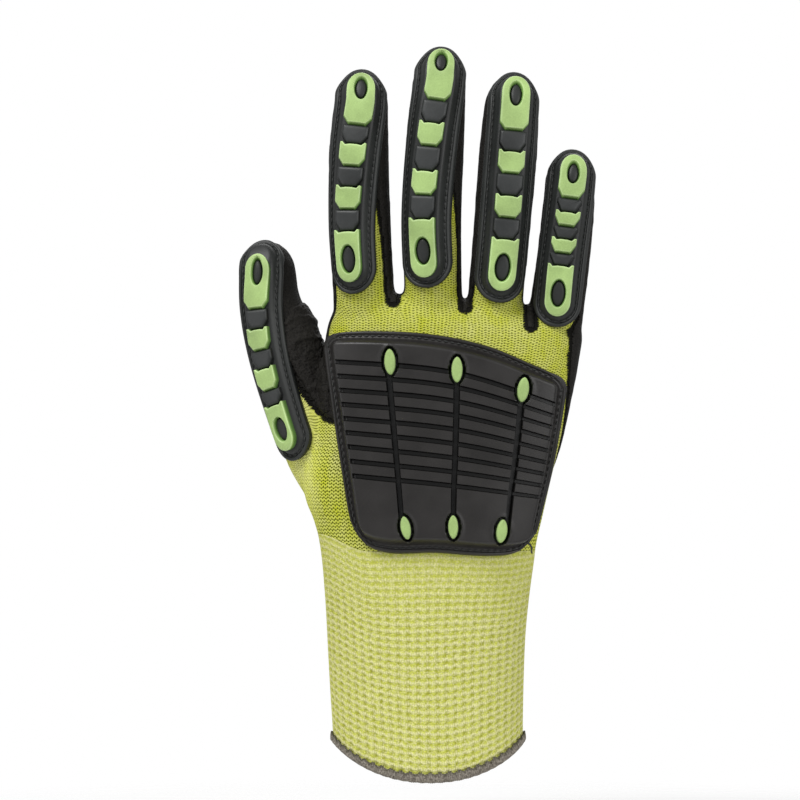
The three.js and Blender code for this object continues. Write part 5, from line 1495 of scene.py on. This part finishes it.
# Polyester overlock thread, twisted: grey-brown, a little silky, olive where it dips into the cuff's yarn
def overlockThread():
    material, tree, shader = newMaterial("twisted_polyester_thread")
    where = addNode(tree, "ShaderNodeTexCoord").outputs["Object"]
    strands = addNode(tree, "ShaderNodeTexNoise", {"Vector": where, "Scale": 1500, "Detail": 3})
    colours = addNode(tree, "ShaderNodeValToRGB", {"Fac": strands})
    fillRamp(colours, [(0.3, "#4E483F"), (0.7, "#9A9389")])
    tipward = addNode(tree, "ShaderNodeAttribute", attribute_name="tipward").outputs["Fac"]
    sunk = addNode(tree, "ShaderNodeMath", {0: tipward, 1: 0.85}, operation="MULTIPLY")
    tipped = addNode(tree, "ShaderNodeMix", {0: sunk, 6: colours.outputs["Color"], 7: srgb("#33331A")},
                     data_type="RGBA")
    finishShader(tree, shader, tipped.outputs[2], 0.75, 0.2, strands, 0.5, 0.00015)
    return material


# Sandy nitrile, dipped and salted while wet: black, grainy and dull, with sparks where grains catch the light
def sandyNitrile(name, coarse):
    material, tree, shader = newMaterial(name)
    where = addNode(tree, "ShaderNodeTexCoord").outputs["Object"]
    sand = addNode(tree, "ShaderNodeTexVoronoi", {"Vector": where, "Scale": 1 / (0.00075 * coarse)})
    dust = addNode(tree, "ShaderNodeTexNoise",
                   {"Vector": where, "Scale": 1 / (0.00045 * coarse), "Detail": 4, "Roughness": 0.7})
    clouds = addNode(tree, "ShaderNodeTexNoise", {"Vector": where, "Scale": 160, "Detail": 3})
    grain = addNode(tree, "ShaderNodeMath", {0: sand.outputs["Distance"], 1: 0.6, 2: dust},
                    operation="MULTIPLY_ADD")
    shade = addNode(tree, "ShaderNodeMath", {0: clouds, 1: 0.35, 2: grain}, operation="MULTIPLY_ADD")
    colours = addNode(tree, "ShaderNodeValToRGB", {"Fac": shade})
    fillRamp(colours, [(0.62, "#080706"), (1.0, "#201E1B")])
    finishShader(tree, shader, colours.outputs["Color"], 0.6, 0.16, grain, 0.9, 0.00035 * coarse)
    return material


tallest = 7     # the height in millimetres at the end of the rubber's colour ramps


# Moulded thermoplastic rubber: satin, very fine mould grain, a soft wide highlight. The colour goes by the
# height
# over the knit in millimetres: painted shade in sunk places and on low facets, painted highlights on rounded
# edges and tops.
def mouldedRubber(name, paintedShading, roughness, specular):
    material, tree, shader = newMaterial(name)
    where = addNode(tree, "ShaderNodeTexCoord").outputs["Object"]
    height = addNode(tree, "ShaderNodeAttribute", attribute_name="height").outputs["Fac"]
    level = addNode(tree, "ShaderNodeMath", {0: height, 1: tallest}, operation="DIVIDE")
    colours = addNode(tree, "ShaderNodeValToRGB", {"Fac": level})
    # the ramp paints shade and highlights by height
    fillRamp(colours, [(at / tallest, colour) for at, colour in paintedShading])
    patches = addNode(tree, "ShaderNodeTexNoise", {"Vector": where, "Scale": 90, "Detail": 3})
    fine = addNode(tree, "ShaderNodeTexNoise", {"Vector": where, "Scale": 1900, "Detail": 3, "Roughness": 0.6})
    both = addNode(tree, "ShaderNodeMath", {0: fine, 1: 0.5, 2: patches}, operation="MULTIPLY_ADD")
    worn = addNode(tree, "ShaderNodeMath", {0: both, 1: 0.8, 2: 0.4}, operation="MULTIPLY_ADD")
    tinted = addNode(tree, "ShaderNodeMix", {0: 1.0, 6: colours.outputs["Color"], 7: worn}, data_type="RGBA",
                     blend_type="MULTIPLY")
    finishShader(tree, shader, tinted.outputs[2], roughness, specular, fine, 0.22, 0.00012)
    rubbed = addNode(tree, "ShaderNodeMapRange", {
        "Value": patches, "From Min": 0.3, "From Max": 0.7, "To Min": roughness - 0.05,
        "To Max": roughness + 0.06})
    tree.links.new(rubbed.outputs[0], shader.inputs["Roughness"])
    return material


# Bonded polyester sewing thread: black, slightly shiny
def sewingThread():
    material, tree, shader = newMaterial("bonded_sewing_thread")
    where = addNode(tree, "ShaderNodeTexCoord").outputs["Object"]
    twist = addNode(tree, "ShaderNodeTexNoise", {"Vector": where, "Scale": 2500, "Detail": 2})
    colours = addNode(tree, "ShaderNodeValToRGB", {"Fac": twist})
    fillRamp(colours, [(0, "#171817"), (1, "#363836")])
    tree.links.new(colours.outputs["Color"], shader.inputs["Base Color"])
    shader.inputs["Roughness"].default_value = 0.6
    return material


handYarnMaterial, cuffYarnMaterial, overlockMaterial = handYarn(), cuffYarn(), overlockThread()
nitrileMaterial = sandyNitrile("sandy_nitrile_dipped", 1.0)
patchMaterial = sandyNitrile("sandy_nitrile_crumpled", 1.3)
# the guards' colour by height: painted shade in the channel, on the spine and down the blocks' sides, painted
# highlights on the lip and the blocks' tops
guardPaintedShading = [(0.5, "#1A1B1A"), (1.7, "#1D1F1E"), (2.3, "#2B2D2C"), (2.6, "#222423"), (3.0, "#1E1F1F"),
               (3.8, "#101111"), (4.3, "#202221"),
               (4.8, "#303232")]
# the pad's colour by how far it is sunk: painted shade deepening into grooves, channels and pockets
padPaintedShade = [(3.3, "#030303"), (4.7, "#070706"), (5.5, "#232120")]
# the green's colour by height: painted shade down the low facets and hole walls, a painted highlight along the
# rounded edge of each top
insertPaintedShading = [(3.0, "#4F7035"), (4.2, "#6A8F48"), (4.9, "#9AB96E"), (5.25, "#C2DB9C"), (5.42, "#9FBA74"),
                (6.2, "#9FBA74")]
blackRubber = mouldedRubber("moulded_rubber_black_satin", guardPaintedShading, 0.45, 0.4)
padRubber = mouldedRubber("moulded_rubber_pad_black", padPaintedShade, 0.4, 0.45)
greenRubber = mouldedRubber("moulded_rubber_green_satin", insertPaintedShading, 0.46, 0.3)
threadMaterial = sewingThread()


# Threads by Geometry Nodes

print("threads")
wrapTree, groupIn, groupOut = emptyTree("wrapped_edge", [
    ("Count", "NodeSocketInt", 270), ("Thread", "NodeSocketObject", None), ("Tooth", "NodeSocketInt", 5),
    ("Rise", "NodeSocketFloat", 0.3), ("Seed", "NodeSocketInt", 3)])
line = addNode(wrapTree, "GeometryNodeMeshToCurve", {0: groupIn.outputs["Geometry"]})
spots = addNode(wrapTree, "GeometryNodeCurveToPoints", {"Curve": line, "Count": groupIn.outputs["Count"]},
                mode="COUNT")
turned = addNode(wrapTree, "FunctionNodeAxesToRotation", {0: (0, 0, 1), 1: spots.outputs["Tangent"]},
                 primary_axis="Z", secondary_axis="X")
number = addNode(wrapTree, "GeometryNodeInputIndex")
inTooth = addNode(wrapTree, "ShaderNodeMath", {0: number, 1: groupIn.outputs["Tooth"]},
                  operation="FLOORED_MODULO")
share = addNode(wrapTree, "ShaderNodeMath", {0: inTooth, 1: groupIn.outputs["Tooth"]}, operation="DIVIDE")
offMiddle = addNode(wrapTree, "ShaderNodeMath", {0: share, 1: 0.5}, operation="SUBTRACT")
fromMiddle = addNode(wrapTree, "ShaderNodeMath", {0: offMiddle}, operation="ABSOLUTE")
peak = addNode(wrapTree, "ShaderNodeMath", {0: 0.5, 1: fromMiddle}, operation="SUBTRACT")
rise = addNode(wrapTree, "ShaderNodeMath", {0: peak, 1: groupIn.outputs["Rise"]}, operation="MULTIPLY")
jitter = addNode(wrapTree, "FunctionNodeRandomValue", {"Seed": groupIn.outputs["Seed"]}, data_type="FLOAT")
jitter.inputs[2].default_value, jitter.inputs[3].default_value = 0.69, 0.74
tall = addNode(wrapTree, "ShaderNodeMath", {0: rise, 1: 2, 2: jitter.outputs[1]}, operation="MULTIPLY_ADD")
size = addNode(wrapTree, "ShaderNodeCombineXYZ", {0: 1.0, 1: 1.0, 2: tall})
shape = addNode(wrapTree, "GeometryNodeObjectInfo", {"Object": groupIn.outputs["Thread"]})
placed = addNode(wrapTree, "GeometryNodeInstanceOnPoints", {
    "Points": spots.outputs["Points"], "Instance": shape.outputs["Geometry"], "Rotation": turned,
    "Scale": size})
endTree(wrapTree, groupOut, placed, overlockMaterial)
threadModel = threadShape()
edgeLine = loopObject("overlock_threads", [handPoint(hemLine(fineAngle[:-1:10]), fineAngle[:-1:10], -0.9)])
overlockThreads = growWith(edgeLine, wrapTree, Count=overlock["threads"], Thread=threadModel,
                           Tooth=overlock["perTooth"], Rise=overlock["toothRise"], Seed=3)
bpy.data.objects.remove(threadModel)

sewing = {"spacing": 2.4, "length": 1.6, "thickness": 0.62}
seamTree, groupIn, groupOut = emptyTree("sewn_line", [
    ("Spacing", "NodeSocketFloat", 0.0025), ("Length", "NodeSocketFloat", 0.0017),
    ("Thickness", "NodeSocketFloat", 0.0005), ("Seed", "NodeSocketInt", 1)])
line = addNode(seamTree, "GeometryNodeMeshToCurve", {0: groupIn.outputs["Geometry"]})
spots = addNode(seamTree, "GeometryNodeCurveToPoints", {"Curve": line, "Length": groupIn.outputs["Spacing"]},
                mode="LENGTH")
turned = addNode(seamTree, "FunctionNodeAlignRotationToVector", {"Vector": spots.outputs["Tangent"]}, axis="Z")
ball = addNode(seamTree, "GeometryNodeMeshUVSphere", {"Segments": 8, "Rings": 6, "Radius": 0.5})
jitter = addNode(seamTree, "FunctionNodeRandomValue", {"Seed": groupIn.outputs["Seed"]}, data_type="FLOAT")
jitter.inputs[2].default_value, jitter.inputs[3].default_value = 0.88, 1.1
long = addNode(seamTree, "ShaderNodeMath", {0: groupIn.outputs["Length"], 1: jitter.outputs[1]},
               operation="MULTIPLY")
size = addNode(seamTree, "ShaderNodeCombineXYZ",
               {0: groupIn.outputs["Thickness"], 1: groupIn.outputs["Thickness"], 2: long})
placed = addNode(seamTree, "GeometryNodeInstanceOnPoints",
                 {"Points": spots.outputs["Points"], "Instance": ball, "Rotation": turned, "Scale": size})
endTree(seamTree, groupOut, placed, threadMaterial)
seamLines = loopObject("sewn_stitches", stitchLines)
stitches = growWith(seamLines, seamTree, Spacing=sewing["spacing"] / 1000, Length=sewing["length"] / 1000,
                    Thickness=sewing["thickness"] / 1000, Seed=1)


# Pieces ride on the part's one body and stand for its solids

print("pieces")
knittedNodes = ["hand_knit", "hand_knit_palm", "hand_knit_knuckles"] + [name + "_stall" for name in fingers]
finishPiece(knitted, knittedNodes, handYarnMaterial)
finishPiece(cuffObject, ["cuff_knit"], cuffYarnMaterial)
finishPiece(bandObject, ["cuff_overlock"], overlockMaterial)
finishPiece(overlockThreads, [], overlockMaterial)
finishPiece(dipped, ["palm_coating"], nitrileMaterial)
finishPiece(crotchPatch, ["thumb_crotch_patch"], patchMaterial)
for name in fingers:
    finishPiece(guardObjects[name], [name + "_guard"], blackRubber)
    finishPiece(insertObjects[name], [name + "_insert_" + key for key in ("base", "lower", "upper", "tip")],
                greenRubber)
finishPiece(padObject, ["back_pad"], padRubber)
finishPiece(studObject, ["pad_stud_" + str(i + 1) for i in range(6)], greenRubber)
finishPiece(stitches, [], threadMaterial)
finishPiece(seamEndObject, [], threadMaterial)


# Studio: pale floor, white surround, soft light from above and the left

print("studio")
studio = {
    # strength of the world and watts of lamps
    "surround": 0.4, "key": 18.0, "side": 2.1, "fill": 6.6, "rimLight": 4,
    "floorZ": -0.03, "floorRadius": 0.3, "floorRings": 8, "floorSides": 96,     # metres
}
scene = bpy.context.scene
scene.view_settings.view_transform = "Standard"
scene.view_settings.look = "None"
world = bpy.data.worlds.new("white_surround")
scene.world = world
world.use_nodes = True
seen = addNode(world.node_tree, "ShaderNodeLightPath").outputs["Is Camera Ray"]
strength = addNode(world.node_tree, "ShaderNodeMapRange",
                   {"Value": seen, "To Min": studio["surround"], "To Max": 1.0})
world.node_tree.nodes["Background"].inputs["Color"].default_value = (1, 1, 1, 1)
world.node_tree.links.new(strength.outputs[0], world.node_tree.nodes["Background"].inputs["Strength"])

sides, floorHeight = studio["floorSides"], studio["floorZ"] * 1000
floorPoints = [(0, 0, floorHeight)]
for ringIndex in range(1, studio["floorRings"] + 1):
    r = studio["floorRadius"] * 1000 * ringIndex / studio["floorRings"]
    turns = [2 * math.pi * k / sides for k in range(sides)]
    floorPoints += [(r * math.cos(turn), r * math.sin(turn), floorHeight) for turn in turns]
floorFaces = [(0, 1 + k, 1 + (k + 1) % sides) for k in range(sides)]
for ringIndex in range(studio["floorRings"] - 1):
    a, b = 1 + ringIndex * sides, 1 + (ringIndex + 1) * sides
    floorFaces += [(a + k, b + k, b + (k + 1) % sides, a + (k + 1) % sides) for k in range(sides)]
floor = makeObject("studio_floor", floorPoints, floorFaces)
floorMaterial = bpy.data.materials.new("pale_floor_paper")
floorMaterial.use_nodes = True
tree = floorMaterial.node_tree
tree.nodes.clear()
where = addNode(tree, "ShaderNodeTexCoord").outputs["Object"]
distance = addNode(tree, "ShaderNodeVectorMath", {0: where}, operation="LENGTH")
fade = addNode(tree, "ShaderNodeMapRange",
               {"Value": distance.outputs["Value"], "From Min": 0.12, "From Max": studio["floorRadius"]})
paper = addNode(tree, "ShaderNodeBsdfDiffuse", {"Color": (0.93, 0.93, 0.93, 1)})
clear = addNode(tree, "ShaderNodeBsdfTransparent")
both = addNode(tree, "ShaderNodeMixShader", {0: fade, 1: paper, 2: clear})
addNode(tree, "ShaderNodeOutputMaterial", {"Surface": both})
floor.data.materials.append(floorMaterial)


def softLight(name, place, size, power):
    lamp = bpy.data.lights.new(name, "AREA")
    lamp.shape = "SQUARE"
    lamp.size = size
    lamp.energy = power
    made = bpy.data.objects.new(name, lamp)
    made.location = place
    made.rotation_euler = (Vector((0, 0, 0.12)) - Vector(place)).to_track_quat("-Z", "Y").to_euler()
    scene.collection.objects.link(made)


softLight("key_light", (-0.65, -0.75, 1.35), 0.7, studio["key"])
softLight("side_light", (-1.15, -0.75, 0.05), 0.6, studio["side"])
softLight("fill_light", (0.9, -0.8, 0.5), 0.9, studio["fill"])
softLight("back_light", (0.2, 1.1, 0.9), 0.9, studio["rimLight"])

# Camera: level with the glove's middle, two metres away
view = {"aim": (-10.1, 0, 126.7), "distance": 2.0, "field": 288}
camera = bpy.data.objects.new("camera", bpy.data.cameras.new("camera"))
camera.data.sensor_fit = "HORIZONTAL"
camera.data.angle = 2 * math.atan(view["field"] / 2000 / view["distance"])
aim = Vector(view["aim"]) / 1000
camera.location = aim + Vector((0, -view["distance"], 0))
camera.rotation_euler = (math.pi / 2, 0, 0)
camera.data.clip_start = 0.05
scene.collection.objects.link(camera)
scene.camera = camera

print("done")
